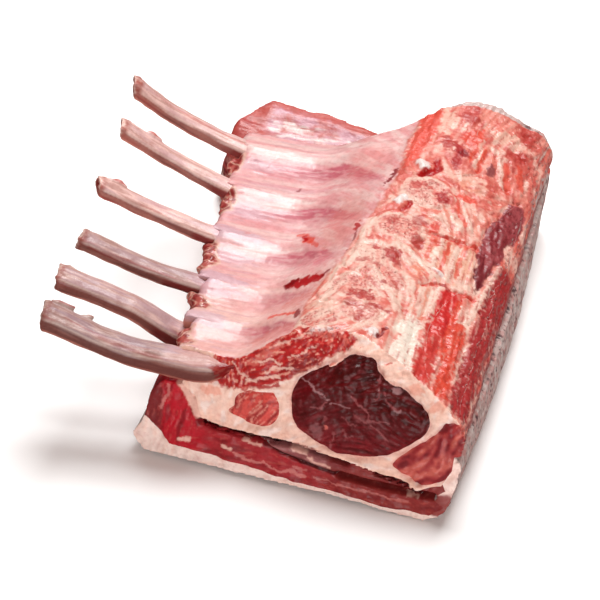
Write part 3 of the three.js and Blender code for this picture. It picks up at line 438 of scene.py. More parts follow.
# Marks on the near cut, in (x, z).
NEAR_SPOTS = (
    ("brown", 0.8, (4, 46.6, 8, 2.6, 28)), ("striated_pink", 0.7, (-9, 48, 6, 1.8, 32)),
    ("rib_meat", 0.8, (-21, 37.6, 8.6, 4.6, 6)), ("orange_meat", 0.85, (-24.6, 39.6, 3.2, 2.6, 0)),
    ("striated_pink", 0.7, (-14, 43.6, 3.4, 1.6, 30)), ("striated_pink", 0.7, (12, 56, 7, 1.4, 8)),
    ("brown", 0.8, (9, 17.9, 5.6, 0.6, -4)), ("orange_soft", 0.5, (47, 46.4, 2.6, 1.6, 0)),
    ("orange_soft", 0.5, (55, 43, 3, 2, 30)), ("orange_soft", 0.5, (-29, 30.4, 3.4, 1.6, 0)),
    ("white", 0.8, (11, 57.4, 6, 1, 4)),
)
NEAR_LINES = (
    ("near_fat", 0.5, 0.7, ((-16, 36.4), (-12, 38.6), (-8, 39.8), (-3.6, 41))),
    ("near_fat", 0.4, 0.75, ((-12, 44), (-8, 45.2), (-4, 44.2))),
    ("near_fat", 0.4, 0.7, ((-10, 41.4), (-5.6, 43), (1, 44.4))),
    ("near_fat", 0.4, 0.6, ((-22, 42), (-19, 39), (-16, 38))),
    ("near_fat", 0.3, 0.6, ((-2, 47), (3, 50), (8, 52))),
    ("near_fat", 0.3, 0.6, ((-7, 50), (0, 53), (6, 55.6))),
    ("rib_meat", 0.8, 0.9, ((-12, 35.6), (-8, 36.4), (-4, 38.2))),
)
CAP_LINES = (
    ("fascia", 0.55, 0.8, ((-46.6, 28.6), (-46, 25.6), (-48, 22), (-49, 19.6))),
    ("fascia", 0.5, 0.85, ((-20, 8.6), (-15, 7.2), (-10, 6.6), (-8, 7.6), (-4, 5.8), (2, 6.6), (8, 6))),
    ("fascia", 0.4, 0.6, ((12, 6.4), (30, 5.6), (48, 5.4))),
    ("fascia", 0.5, 0.6, ((4, 8.4), (9, 8))),
    ("fascia_pale", 1.0, 0.9, ((-40.6, 8.8), (-38, 9))),
    ("fascia_pale", 0.8, 0.95, ((-23.6, 9.8), (-21.4, 9.6))),
    ("fascia_pale", 0.6, 0.7, ((-16, 14), (-9, 13.6))),
    ("fascia_pale", 1.2, 0.85, ((3.6, 15), (8, 14.6))),
    ("fascia_pale", 0.7, 0.8, ((9.4, 13.6), (10.4, 13.4))),
    ("fascia_pale", 0.6, 0.7, ((10, 12), (17, 11.4))),
    ("fascia_pale", 0.6, 0.8, ((47.6, 8.2), (51, 8.4))),
)
CAP_BORDER = (
    (-44, 32), (-40, 31), (-34.4, 27), (-31, 18), (-32.4, 16.8), (-34.4, 18.2), (-37.2, 21.4), (-39.6, 25.4),
    (-42.8, 29.6),
)
EYE_LINES = (
    ("silver", 0.3, 0.6, ((3.6, 41.4), (8, 41.6), (11, 40), (15.4, 38))),
    ("silver", 0.22, 0.55, ((15, 36.4), (19, 37), (24, 36.4))),
    ("eye_pale", 0.35, 0.85, ((24, 40.4), (28, 38.6), (31, 36))),
    ("eye_pale", 0.3, 0.8, ((14, 37), (13, 34.6), (9, 34))),
    ("eye_pale", 0.3, 0.75, ((25, 34.6), (29, 33), (34, 34.4), (39, 34.8))),
    ("eye_pale", 0.28, 0.7, ((31, 36), (32, 33), (36, 30), (39, 27.4))),
    ("eye_pale", 0.35, 0.8, ((18.4, 27), (18, 23), (17.6, 19.4))),
    ("eye_pale", 0.28, 0.6, ((33.4, 48), (34, 44), (33, 41))),
    ("eye_pale", 0.3, 0.6, ((36, 44.4), (37.6, 41), (41, 40))),
    ("eye_pale", 0.28, 0.6, ((21, 33), (24, 30.6), (26.4, 31))),
    ("eye_pale", 0.28, 0.6, ((22, 28), (24, 26), (26, 26.6))),
)
EYE_SPOTS = (
    ("silver", 0.25, (11.6, 25, 2.6, 3.4, -20)), ("silver", 0.6, (40, 44.6, 2, 0.9, -10)),
    ("silver", 0.5, (41, 39.6, 1.6, 0.5, 0)), ("striated_pink", 0.85, (15.2, 28, 0.7, 0.9, 0)),
    ("eye_pale", 0.6, (15, 31, 0.9, 0.8, 0)), ("eye_pale", 0.4, (27.6, 33.4, 2.4, 1.4, 20)),
)


# ------------------------------------------------------------------ small maths
def smooth(t):
    """0 to 1 with soft ends, for t from 0 to 1."""
    t = np.clip(t, 0, 1)
    return t * t * (3 - 2 * t)


def ramp(value, start, width):
    """0 up to `start`, and 1 from `width` beyond it."""
    return smooth((value - start) / width)


def fall(value, end, width):
    """1 up to `width` before `end`, and 0 from there on."""
    return smooth((end - value) / width)


def along(table, w):
    """The outline at share w between the near and the far cut."""
    near, mid, far = (np.array([row[k] for row in table], float) for k in range(3))
    v = min(1.0, max(0.0, w))
    return near * (2 * v - 1) * (v - 1) + mid * 4 * v * (1 - v) + far * v * (2 * v - 1)


def curve(points, per, closed=False):
    """Points on a smooth curve through the given ones, `per` for each stretch."""
    points = np.asarray(points, float)
    count = len(points)
    t = (np.arange(per) / per)[:, None]
    out = []
    for i in range(count if closed else count - 1):
        pick = [(i + k) % count if closed else min(max(i + k, 0), count - 1) for k in (-1, 0, 1, 2)]
        p0, p1, p2, p3 = points[pick]
        v0, v1 = (p2 - p0) / 2, (p3 - p1) / 2
        out.append((2 * p1 - 2 * p2 + v0 + v1) * t**3 + (3 * p2 - 3 * p1 - 2 * v0 - v1) * t**2 + v0 * t + p1)
    if not closed:
        out.append(points[-1:])
    return np.vstack(out)


def dense(points, per):
    """Points along straight stretches, `per` for each."""
    points = np.asarray(points, float)
    out = [points[i] + (points[i + 1] - points[i]) * (k / per)
           for i in range(len(points) - 1) for k in range(per)]
    return np.vstack([*out, points[-1]])


def unit(vectors):
    """Each row at length 1."""
    return vectors / np.linalg.norm(vectors, axis=1)[:, None]


def near_cut(x, z):
    """Where the near cut lies at (x, z)."""
    curl = NEAR["curl"] * np.maximum(0, z - NEAR["curl_height"]) ** 2
    return NEAR["start"] + NEAR["slope"] * x + NEAR["lean"] * z + curl


def far_cut(x):
    """Where the far cut lies at x."""
    return SHEET_END + BULGE["reach"] * smooth((x - BULGE["from"]) / BULGE["width"])


def flap_cut(x):
    """Where the flap of the cap ends at x."""
    corner = FLAP["corner_cut"] * smooth((FLAP["corner_from"] - x) / FLAP["corner_width"])
    return FLAP["end"] + FLAP["slope"] * x - corner


def place(section, w):
    """Section points (x, z) at share w of the length, as (x, y, z)."""
    x, z = section[:, 0], section[:, 1]
    start = near_cut(x, z)
    return np.stack([x, start + (far_cut(x) - start) * w, z], 1)


def skin_edge(y):
    """Where the inner skin ends and the sawn face starts."""
    return np.interp(y, *np.array(PLEURA_EDGE, float).T)


def rib_y(k, x):
    """Where the middle of a rib passes x."""
    rib = RIBS[k]
    return rib["edge"] + (rib["ridge"] - rib["edge"]) * (x - EDGE_X) / (RIDGE_X - EDGE_X)


def rib_swell(x, y):
    """How far the skin swells up over the ribs."""
    over = sum(np.exp(-(((y - rib_y(k, x)) / SWELL["width"]) ** 2)) for k in range(len(RIBS)))
    return SWELL["height"] * (over - SWELL["mean"]) * np.clip((SWELL["end"] - x) / SWELL["fade"], 0, 1)


class Noise:
    """Seeded gradient noise in three dimensions, from about -1 to 1."""

    def __init__(self, seed):
        rng = np.random.default_rng(seed)
        self.order = np.tile(rng.permutation(256), 2)
        arrows = rng.normal(size=(256, 3))
        self.arrows = unit(arrows)

    def __call__(self, points, size, shift=0.0):
        q = np.asarray(points, float) / size + 31.7 * (shift + 1)
        cell = np.floor(q).astype(int)
        f = q - cell
        u = f * f * f * (f * (f * 6 - 15) + 10)
        total = np.zeros(len(q))
        for corner in range(8):
            step = np.array([corner & 1, corner >> 1 & 1, corner >> 2 & 1])
            at = (cell + step) & 255
            pick = self.order[self.order[self.order[at[:, 0]] + at[:, 1]] + at[:, 2]]
            weight = np.prod(np.where(step, u, 1 - u), axis=1)
            total += weight * np.einsum("ij,ij->i", self.arrows[pick], f - step)
        return total * 1.7

    def layers(self, points, size, octaves=3, shift=0.0):
        total, gain = 0.0, 1.0
        for k in range(octaves):
            total = total + gain * self(points, size / 2**k, shift + 7 * k)
            gain /= 2
        return total


GRAIN = Noise(41)


def ridges(points, size, shift=0.0):
    """1 on thin winding lines, falling to 0 beside them."""
    return np.clip(1 - np.abs(GRAIN(points, size, shift)) * 6, 0, 1)


def fibre_run(table, u, v, flat):
    """The fibres' direction at each (u, v), by the nearest entries of a table; 0 along axis `flat`."""
    twice = np.zeros((len(u), 2))
    for cu, cv, degrees in table:
        share = 1 / ((u - cu) ** 2 + (v - cv) ** 2 + 16) ** 2
        angle = 2 * math.radians(degrees)
        twice += share[:, None] * (math.cos(angle), math.sin(angle))
    angle = np.arctan2(twice[:, 1], twice[:, 0]) / 2
    return np.insert(np.stack([np.cos(angle), np.sin(angle)], 1), flat, 0, axis=1)


def drawn_out(points, run, size, reach, shift):
    """Noise drawn out along the direction at each point, as fibres are."""
    return 0.36 * sum(GRAIN(points + run * (reach * t), size, shift) for t in np.linspace(-1, 1, 7))


def dots(u, v, pitch, radius, seed):
    """1 in small round dots, one in each cell of an uneven grid."""
    table = np.random.default_rng(seed).random((64, 64, 3))
    cu, cv = np.floor(u / pitch).astype(int), np.floor(v / pitch).astype(int)
    best = np.full(len(u), 9.0)
    for du in (-1, 0, 1):
        for dv in (-1, 0, 1):
            pick = table[(cu + du) & 63, (cv + dv) & 63]
            far = np.hypot(u / pitch - cu - du - pick[:, 0], v / pitch - cv - dv - pick[:, 1])
            best = np.minimum(best, far * pitch / (radius * (0.4 + 0.9 * pick[:, 2])))
    return fall(best, 1.3, 0.6)


def ring_distance(ring, x, z):
    """Distance to a closed outline, negative inside it."""
    best = np.full(len(x), 1e9)
    inside = np.zeros(len(x), bool)
    for (ax, az), (bx, bz) in zip(ring, np.roll(ring, -1, axis=0)):
        ex, ez = bx - ax, bz - az
        px, pz = x - ax, z - az
        t = np.clip((px * ex + pz * ez) / (ex * ex + ez * ez + 1e-12), 0, 1)
        best = np.minimum(best, (px - t * ex) ** 2 + (pz - t * ez) ** 2)
        if abs(ez) > 1e-9:
            inside ^= ((az > z) != (bz > z)) & (px < ex * pz / ez)
    return np.where(inside, -1, 1) * np.sqrt(best)


def line_distance(points, x, z):
    """Distance to an open line, and how far along its points the nearest place lies."""
    best, where = np.full(len(x), 1e9), np.zeros(len(x))
    for k, ((ax, az), (bx, bz)) in enumerate(zip(points[:-1], points[1:])):
        ex, ez = bx - ax, bz - az
        t = np.clip(((x - ax) * ex + (z - az) * ez) / (ex * ex + ez * ez + 1e-12), 0, 1)
        far = (x - ax - t * ex) ** 2 + (z - az - t * ez) ** 2
        where = np.where(far < best, k + t, where)
        best = np.minimum(best, far)
    return np.sqrt(best), where


# ------------------------------------------------------------------ meshes
def select_only(*objects):
    bpy.ops.object.select_all(action="DESELECT")
    for item in objects:
        item.select_set(True)
    bpy.context.view_layer.objects.active = objects[0]


def mesh_object(name, points, faces):
    """An object from points in the cutting frame, with its faces turned outwards."""
    mesh = bpy.data.meshes.new(name)
    mesh.from_pydata(((points + CUT_TO_FRAME) * MM).tolist(), [], faces)
    work = bmesh.new()
    work.from_mesh(mesh)
    bmesh.ops.recalc_face_normals(work, faces=work.faces)
    work.to_mesh(mesh)
    work.free()
    piece = bpy.data.objects.new(name, mesh)
    bpy.context.scene.collection.objects.link(piece)
    return piece


def loft(name, rows):
    """A closed body through rows of points, shut at both ends."""
    size, last = len(rows[0]), (len(rows) - 1) * len(rows[0])
    faces = [
        (r * size + i, r * size + (i + 1) % size, (r + 1) * size + (i + 1) % size, (r + 1) * size + i)
        for r in range(len(rows) - 1) for i in range(size)
    ]
    faces += [tuple(range(size))[::-1], tuple(range(last, last + size))]
    return mesh_object(name, np.vstack(rows), faces)


def slab(name, front, back):
    """A body from the surface y = front(x, z) to the plane y = back, wider than the rack."""
    xs, zs = (np.arange(*KNIFE[axis], KNIFE["step"]) for axis in "xz")
    gx, gz = (g.ravel() for g in np.meshgrid(xs, zs, indexing="ij"))
    count = len(gx)
    points = np.vstack([np.stack([gx, front(gx, gz), gz], 1), np.stack([gx, np.full(count, back), gz], 1)])
    nx, nz = len(xs), len(zs)
    faces = []
    for i in range(nx - 1):
        for j in range(nz - 1):
            a, b, c, d = i * nz + j, (i + 1) * nz + j, (i + 1) * nz + j + 1, i * nz + j + 1
            faces += [(a, b, c, d), (count + a, count + d, count + c, count + b)]
    rim = [i * nz for i in range(nx)] + [(nx - 1) * nz + j for j in range(1, nz)]
    rim += [i * nz + nz - 1 for i in range(nx - 2, -1, -1)] + list(range(nz - 2, 0, -1))
    faces += [(a, b, count + b, count + a) for a, b in zip(rim, rim[1:] + rim[:1])]
    return mesh_object(name, points, faces)


def apply_modifier(piece, kind, **settings):
    """Adds a modifier and applies it."""
    modifier = piece.modifiers.new(kind.title(), kind)
    for key, value in settings.items():
        setattr(modifier, key, value)
    select_only(piece)
    bpy.ops.object.modifier_apply(modifier=modifier.name)


def boolean(piece, cutter, operation):
    """Joins a piece with a cutter, or cuts it, and keeps the result."""
    apply_modifier(piece, "BOOLEAN", operation=operation, object=cutter, solver="MANIFOLD")
    if not piece.data.vertices:
        raise RuntimeError(f"{piece.name} is empty after {operation} with {cutter.name}")


def copy_of(piece, name):
    twin = piece.copy()
    twin.data = piece.data.copy()
    twin.name = twin.data.name = name
    bpy.context.scene.collection.objects.link(twin)
    return twin


def remove(*objects):
    """Deletes objects with their meshes."""
    for item in objects:
        bpy.data.meshes.remove(item.data)


def points_of(piece):
    """The mesh's points in the cutting frame, and their outward directions."""
    count = len(piece.data.vertices)
    points, normals = np.empty(count * 3), np.empty(count * 3)
    piece.data.vertices.foreach_get("co", points)
    piece.data.vertex_normals.foreach_get("vector", normals)
    return points.reshape(-1, 3) / MM - CUT_TO_FRAME, normals.reshape(-1, 3)


def move_points(piece, points):
    piece.data.vertices.foreach_set("co", ((points + CUT_TO_FRAME) * MM).ravel())
    piece.data.update()


# ------------------------------------------------------------------ the block of meat
def gape_at(x):
    """How wide open the gape between the loin and the cap is at x, from 0 to 1."""
    right = smooth((x - SLIT["right"][0]) / SLIT["fade"]) * smooth((SLIT["right"][1] - x) / SLIT["fade"])
    return smooth((SLIT["left_end"] - x) / SLIT["fade"]) + right


def loin_rows():
    """Rows of points round the loin, from before the near cut to beyond the far cut."""
    rows = []
    for w in np.linspace(*LOIN_SPAN):
        ring = np.vstack([dense(along(SEAM, w), 4), curve(along(TOP, w), 7)])
        points = place(ring, w)
        lift = smooth((ring[:, 1] - SKIN_FROM) / (SKIN_FULL - SKIN_FROM))
        points[:, 2] += rib_swell(points[:, 0], points[:, 1]) * lift
        rows.append(points)
    return rows


def cap_rows():
    """Rows of points round the cap, with the flap's folds beyond the far cut."""
    rows = []
    for w in np.linspace(*CAP_SPAN):
        wall, side = curve(along(WALL, w), 6), curve(along(CAP_SIDE, w), 6)
        side[:, 0] -= FLARE["reach"] * smooth((w - FLARE["from"]) / FLARE["width"])
        seam = dense(along(SEAM, w)[::-1], 4)
        gape = SLIT["height"] * np.clip(1 - w * SHEET_END / SLIT["depth"], 0, 1) * gape_at(seam[:, 0])
        seam[:, 1] += JOIN - gape
        floor = dense([side[-1], wall[0]], 12)[1:-1]
        ring = np.vstack([wall, seam, side, floor])
        points = place(ring, w)
        x, z = ring[:, 0], ring[:, 1]
        reach = (flap_cut(x) - near_cut(x, z)) / (far_cut(x) - near_cut(x, z))
        t = (w - 1) / np.maximum(reach - 1, 1e-3)
        sag = SAG["depth"] * np.sin(math.pi * np.clip(t / SAG["end"], 0, 1))
        relief = LIP["rise"] * smooth((t - LIP["from"]) / LIP["width"])
        relief -= sag * smooth((SWELL["end"] - x) / SWELL["fade"])
        skin = (z > FLAP_SKIN["above"]) & (x < FLAP_SKIN["left_of"]) & (t > 0)
        points[:, 2] += np.where(skin, relief, 0)
        rows.append(points)
    return rows


def ragged(x, z, size, amount, shift):
    """Unevenness of a cut face."""
    return GRAIN.layers(np.stack([x, z * 0 + shift, z], 1), size, 3, shift) * amount


def free_edge_reach(y):
    """How far the sheet's free edge stands out at y: furthest just beyond each rib, cut back before it."""
    reach = np.zeros_like(y)
    for k, rib in enumerate(RIBS):
        beyond = y - rib["edge"]
        nxt = RIBS[k - 1]["edge"] - rib["edge"] if k else 20
        reach += np.where((beyond > 0) & (beyond < nxt), 1 - beyond / nxt, 0)
    return reach


def relief(points, normals):
    """Height in mm of the small forms over the block's surface."""
    x, y, z = points.T
    up = ramp(normals[:, 2], 0.15, 0.4)
    near = near_share(points, normals)
    face = ramp(x - skin_edge(y), -2, 5) * up
    skin = up * (1 - face)
    height = 0.1 * GRAIN.layers(points, 5, 3, 1) * (1 - near)
    height += fill(np.zeros((len(x), 1)), face, lambda at: face_relief(points[at], x[at], y[at]))[:, 0]
    folds = 0.3 * GRAIN.layers(points * LENGTHWISE, 7, 2, 4) + 0.12 * GRAIN(points * (0.2, 1, 1), 2, 5)
    height += skin * folds
    height += fill(np.zeros((len(x), 1)), near, lambda at: near_relief(points[at], x[at], z[at]))[:, 0]
    low = ramp(-normals[:, 2], 0.5, 0.3)
    wall = ramp(normals[:, 0], 0.3, 0.3)
    height += wall * (0.45 * GRAIN.layers(points, 8, 3, 8) - 0.5 * dots(y, z, 2.6, 0.6, 9))
    return height * (1 - low * fall(z, 4, 3))


def face_relief(points, x, y):
    """The sawn face: fibres, sunk wounds, standing nubs and grooves beside the bones."""
    run = fibre_run(FACE_FIBRES, x, y, 2)
    height = 0.35 * drawn_out(points, run, 1.8, 5, 36) + 0.5 * drawn_out(points, run, 4, 8, 136)
    height += 0.6 * GRAIN.layers(points, 11, 2, 2) + 0.2 * GRAIN(points, 1.8, 3)
    for tone, _, spot in FACE_SPOTS:
        if tone in FACE_LIFTS:
            height += 0.5 * FACE_LIFTS[tone] * spot_mask(spot, x, y)
    for tone, half, _, line in FACE_LINES:
        if tone in FACE_LIFTS:
            distance, _ = line_distance(line, x, y)
            height += FACE_LIFTS[tone] * fall(distance, half * 1.6, half * 1.5)
    height -= 0.5 * np.exp(-((ring_distance(DARK_MUSCLE, x, y) / 0.8) ** 2))
    for at in VERTEBRA_Y:
        rim = np.hypot((x - vertebra_x(at)) / VERTEBRA["radii"][0], (y - at) / VERTEBRA["radii"][1])
        height -= 0.4 * np.exp(-(((rim - 1.02) / 0.07) ** 2))
    return height[:, None]


def near_relief(points, x, z):
    """The near cut: domed muscles, fibres and the open gaps between the layers."""
    run = fibre_run(NEAR_FIBRES, x, z, 1)
    height = 0.35 * drawn_out(points, run, 1.6, 3, 6) + 0.55 * GRAIN.layers(points, 8, 2, 7)
    for ring, dome in NEAR_DOMES:
        inside = -ring_distance(curve(ring, 3, True), x, z)
        height += dome * smooth(inside / 7) - 0.45 * np.exp(-((inside / 0.9) ** 2))
    for depth, half, line in GAPES:
        distance, _ = line_distance(line, x, z)
        height -= depth * np.exp(-((distance / half) ** 2))
    seam, _ = line_distance([row[0] for row in SEAM], x, z)
    above = np.interp(x, *np.array([row[0] for row in SEAM[2:7]]).T) < z
    height += np.where(above, 0.9, -0.5) * np.exp(-((seam / 2.2) ** 2)) * fall(x, 58, 6)
    return height[:, None]


def near_share(points, normals):
    """1 on the near cut, 0 away from it."""
    x, y, z = points.T
    return fall(y - near_cut(x, z), 3.4, 1.4) * ramp(-normals[:, 1], 0.22, 0.25)


def vertebra_x(y):
    """The vertebrae stand in a straight line along the sawn face."""
    share = (VERTEBRA_Y[0] - y) / (VERTEBRA_Y[0] - VERTEBRA_Y[-1])
    return VERTEBRA["x"][0] + (VERTEBRA["x"][1] - VERTEBRA["x"][0]) * share


def top_height(x, y):
    """Height of the upper surface over one (x, y)."""
    z = 43.0
    for _ in range(3):
        w = (y - near_cut(x, z)) / (far_cut(x) - near_cut(x, z))
        line = curve(along(TOP, float(w)), 6)[6:]
        order = np.argsort(line[:, 0])
        z = float(np.interp(x, line[order, 0], line[order, 1]))
    return z + float(rib_swell(x, y))


def build_block(sizes):
    """The whole rack without its bones, in one closed skin."""
    loin, cap = loft("loin_mass", loin_rows()), loft("cap_mass", cap_rows())
    near = slab("near_knife", lambda x, z: near_cut(x, z) + ragged(x, z, *KNIFE_GRAIN["near"]), KNIFE["near"])
    far = slab("far_knife", lambda x, z: far_cut(x) + ragged(x, z, *KNIFE_GRAIN["far"]), KNIFE["far"])
    end = slab("flap_knife", lambda x, z: flap_cut(x) + ragged(x, z, *KNIFE_GRAIN["end"]), KNIFE["far"])
    for mass, knives in ((loin, (near, far)), (cap, (near, end))):
        for knife in knives:
            boolean(mass, knife, "DIFFERENCE")
    boolean(loin, cap, "UNION")
    for k, (_, cord) in enumerate(SCRAPS):
        scrap = cord_body(f"scrap_{k + 1}", np.array(cord) - CORD_SHIFT, SCRAP_RADII, 200 + k)
        boolean(loin, scrap, "UNION")
        remove(scrap)
    apply_modifier(loin, "REMESH", mode="VOXEL", voxel_size=sizes.grain, adaptivity=0)
    remove(cap, near, far, end)
    points, normals = points_of(loin)
    x, y, z = points.T
    rim = fall(x, -30, 16) * ramp(z, 30, 3) * fall(z, 48, 2)
    rim *= smooth((SHEET_END - y) / 4)
    tatters = GRAIN.layers(points * (0.2, 1, 0.4), 5, 3, 14)
    points[:, 0] -= rim * (sizes.edge_teeth / MM * (free_edge_reach(y) - 0.5) + 1.1 * tatters)
    points += normals * relief(points, normals)[:, None]
    points[:, 2] = np.maximum(points[:, 2], 0.0)
    off = points[:, 1] - near_cut(points[:, 0], 0) + 1.2 * GRAIN.layers(points * (1, 1, 0), 9, 2, 15)
    lift = EDGE_LIFT["height"] * smooth((EDGE_LIFT["reach"] - off) / EDGE_LIFT["reach"])
    lift *= smooth((EDGE_LIFT["right"] - points[:, 0]) / 40)
    points[:, 2] += lift * fall(points[:, 2], 9, 9)
    move_points(loin, points)
    loin.name = "block"
    underside = loin.vertex_groups.new(name="underside")
    underside.add(np.flatnonzero(points[:, 2] < 0.01).tolist(), 1.0, "REPLACE")
    apply_modifier(loin, "DECIMATE", ratio=sizes.underside_share, vertex_group="underside")
    loin.vertex_groups.clear()
    return loin


def cord_body(name, points, radii, shift):
    """An uneven round body along a few points."""
    course = curve(points, 6)
    run = unit(np.gradient(course, axis=0))
    side = unit(np.cross(run, (0, 0, 1)))
    up = np.cross(side, run)
    radius = np.interp(np.linspace(0, 1, len(course)), np.linspace(0, 1, len(radii)), radii)
    angle = np.arange(CORD_SIDES) / CORD_SIDES * math.tau
    rows = []
    for i in range(len(course)):
        ring = course[i] + radius[i] * (side[i] * np.cos(angle)[:, None] + up[i] * np.sin(angle)[:, None])
        rows.append(course[i] + (ring - course[i]) * (1 + 0.35 * GRAIN(ring, 2.5, shift))[:, None])
    return loft(name, rows)


def region_above_seam():
    """A body that holds all of the loin and none of the cap."""
    rows = []
    for w in np.linspace(*SEAM_SPAN):
        seam = dense(along(SEAM, w), 3)
        right, left, top = BEYOND["right"], BEYOND["left"], BEYOND["top"]
        corners = [(right, seam[-1, 1] + 0.2), (right, top), (left, top), (left, seam[0, 1])]
        rows.append(place(np.vstack([seam, corners]), w))
    return loft("loin_region", rows)


def wavy(ring, w, amount, shift):
    """A closed ring whose points are moved out and in by slow noise."""
    run = np.roll(ring, -1, axis=0) - np.roll(ring, 1, axis=0)
    run /= np.linalg.norm(run, axis=1)[:, None] + 1e-9
    out = GRAIN.layers(place(ring, w), 6, 2, shift) * amount
    return ring + np.stack([run[:, 1], -run[:, 0]], 1) * out[:, None]


def follow(detail, table, w):
    """A fine outline of the near cut, moved and sized as the solids' own outline is at share w."""
    start, here = along(table, 0), along(table, w)
    scale = np.ptp(here, axis=0) / np.ptp(start, axis=0)
    return (np.array(detail, float) - start.mean(0)) * scale + here.mean(0)


def small_muscle_table():
    """The small muscle's outline at the three cuts, as a tilted ellipse."""
    table = []
    for i in range(12):
        angle = i / 12 * math.tau
        dx, dz = (math.cos(angle) * SMALL_MUSCLE["radii"][0], math.sin(angle) * SMALL_MUSCLE["radii"][1])
        c, s = math.cos(SMALL_MUSCLE["tilt"]), math.sin(SMALL_MUSCLE["tilt"])
        table.append([(x + dx * c - dz * s, z + dx * s + dz * c) for x, z in SMALL_MUSCLE["centre"][0]])
    return table


def outline_of(name, w):
    """The closed outline of a piece that runs through the rack, at share w."""
    if name == "eye_muscle":
        return curve(follow(EYE_CUT, EYE, w), 4, True)
    if name == "small_muscle":
        return curve(follow(SMALL_MUSCLE_CUT, small_muscle_table(), w), 5, True)
    if name == "rib_sheet":
        return curve(along(SHEET, w), 10, True)
    if name == "back_muscle":
        return curve(follow(BACK_CUT, BACK_MUSCLE, w), 4, True)
    table = along({"cap_muscle": CAP_MUSCLE, "cap_strip": CAP_STRIP}[name], w)
    if name == "cap_muscle":
        table[:, 1] -= CAP_DIP * max(0, 1 - w) * ((table[:, 1] < 7) & (np.abs(table[:, 0] + 18) < 28))
    return dense(np.vstack([table, table[:1]]), 6)[:-1]


def prism(name, shift, waviness=0.35):
    """The region of a piece that runs through the rack."""
    rows = []
    growth = 0 if name == "cap_strip" else 3
    for w in np.linspace(*PIECE_SPAN):
        ring = outline_of(name, w)
        rows.append(place(wavy(ring, w, waviness * (1 + growth * ramp(w, 0.1, 0.2)), shift), w))
    return loft(f"{name}_region", rows)


def lump(name, radii, centre, turn, shift):
    """An uneven rounded body."""
    at = (np.array(centre) + CUT_TO_FRAME) * MM
    bpy.ops.mesh.primitive_uv_sphere_add(**BALL, radius=1, location=(0, 0, 0))
    ball = bpy.context.object
    ball.name = f"{name}_region"
    count = len(ball.data.vertices)
    unit = np.empty(count * 3)
    ball.data.vertices.foreach_get("co", unit)
    unit = unit.reshape(-1, 3) * (1 + 0.1 * GRAIN.layers(unit.reshape(-1, 3), 0.9, 2, shift))[:, None]
    sized = unit * radii
    c, s = math.cos(turn), math.sin(turn)
    sized = sized @ np.array([[c, s, 0], [-s, c, 0], [0, 0, 1]])
    ball.data.vertices.foreach_set("co", (sized * MM + at).ravel())
    ball.data.update()
    return ball


# ------------------------------------------------------------------ ribs
def rib_course(k):
    """Evenly spaced points along the middle of a rib, from its tip."""
    rib = RIBS[k]
    if k == len(RIBS) - 1:
        inside = NEAR_RIB_INSIDE
    else:
        inside = []
        for x in INSIDE_X:
            y = rib_y(k, x)
            drop = HEAD["drop"] * smooth((x - HEAD["from"]) / HEAD["width"])
            rise = ENTRY["rise"] * smooth((ENTRY["from"] - x) / ENTRY["width"])
            inside.append((x, y, top_height(x, y) - RIB["depth"] * rib["girth"] - drop + rise))
    knots = np.array([rib["tip"], rib["mid"], *inside], float)
    fine = centripetal(knots, 24)
    length = path_length(fine)
    even = np.linspace(0, length[-1], RIB_POINTS)
    return np.stack([np.interp(even, length, fine[:, a]) for a in range(3)], 1)


def centripetal(knots, per):
    """The smooth curve that the solids' ribs follow."""
    ends = np.vstack([2 * knots[0] - knots[1], knots, 2 * knots[-1] - knots[-2]])
    out = []
    for i in range(1, len(ends) - 2):
        p0, p1, p2, p3 = ends[i - 1:i + 3]
        d0, d1, d2 = (max(np.linalg.norm(b - a) ** 0.5, 1e-6) for a, b in ((p0, p1), (p1, p2), (p2, p3)))
        v1 = ((p1 - p0) / d0 - (p2 - p0) / (d0 + d1) + (p2 - p1) / d1) * d1
        v2 = ((p2 - p1) / d1 - (p3 - p1) / (d1 + d2) + (p3 - p2) / d2) * d1
        t = (np.arange(per) / per)[:, None]
        out.append((2 * p1 - 2 * p2 + v1 + v2) * t**3 + (3 * p2 - 3 * p1 - 2 * v1 - v2) * t**2 + v1 * t + p1)
    return np.vstack([*out, knots[-1:]])


def path_length(course):
    """The distance from the start at each point of a course."""
    return np.concatenate([[0], np.cumsum(np.linalg.norm(np.diff(course, axis=0), axis=1))])


def rib_axes(k):
    """The rib's course, and at each point of it the directions along, across and up."""
    course = rib_course(k)
    run = unit(np.gradient(course, axis=0))
    across = unit(np.array([0, 1, 0]) - run * run[:, 1:2])
    return course, run, across, np.cross(run, across)


def on_rib(k, points):
    """Each point's distance along the rib from its tip, and its offsets across and up from the middle."""
    course, run, across, up = rib_axes(k)
    length = path_length(course)
    nearest = np.empty(len(points), int)
    for start in range(0, len(points), BATCH):
        batch = points[start:start + BATCH]
        nearest[start:start + BATCH] = np.argmin(((batch[:, None] - course) ** 2).sum(2), 1)
    off = points - course[nearest]
    dot = [np.einsum("ij,ij->i", off, axis[nearest]) for axis in (run, across, up)]
    return length[nearest] + dot[0], dot[1], dot[2]


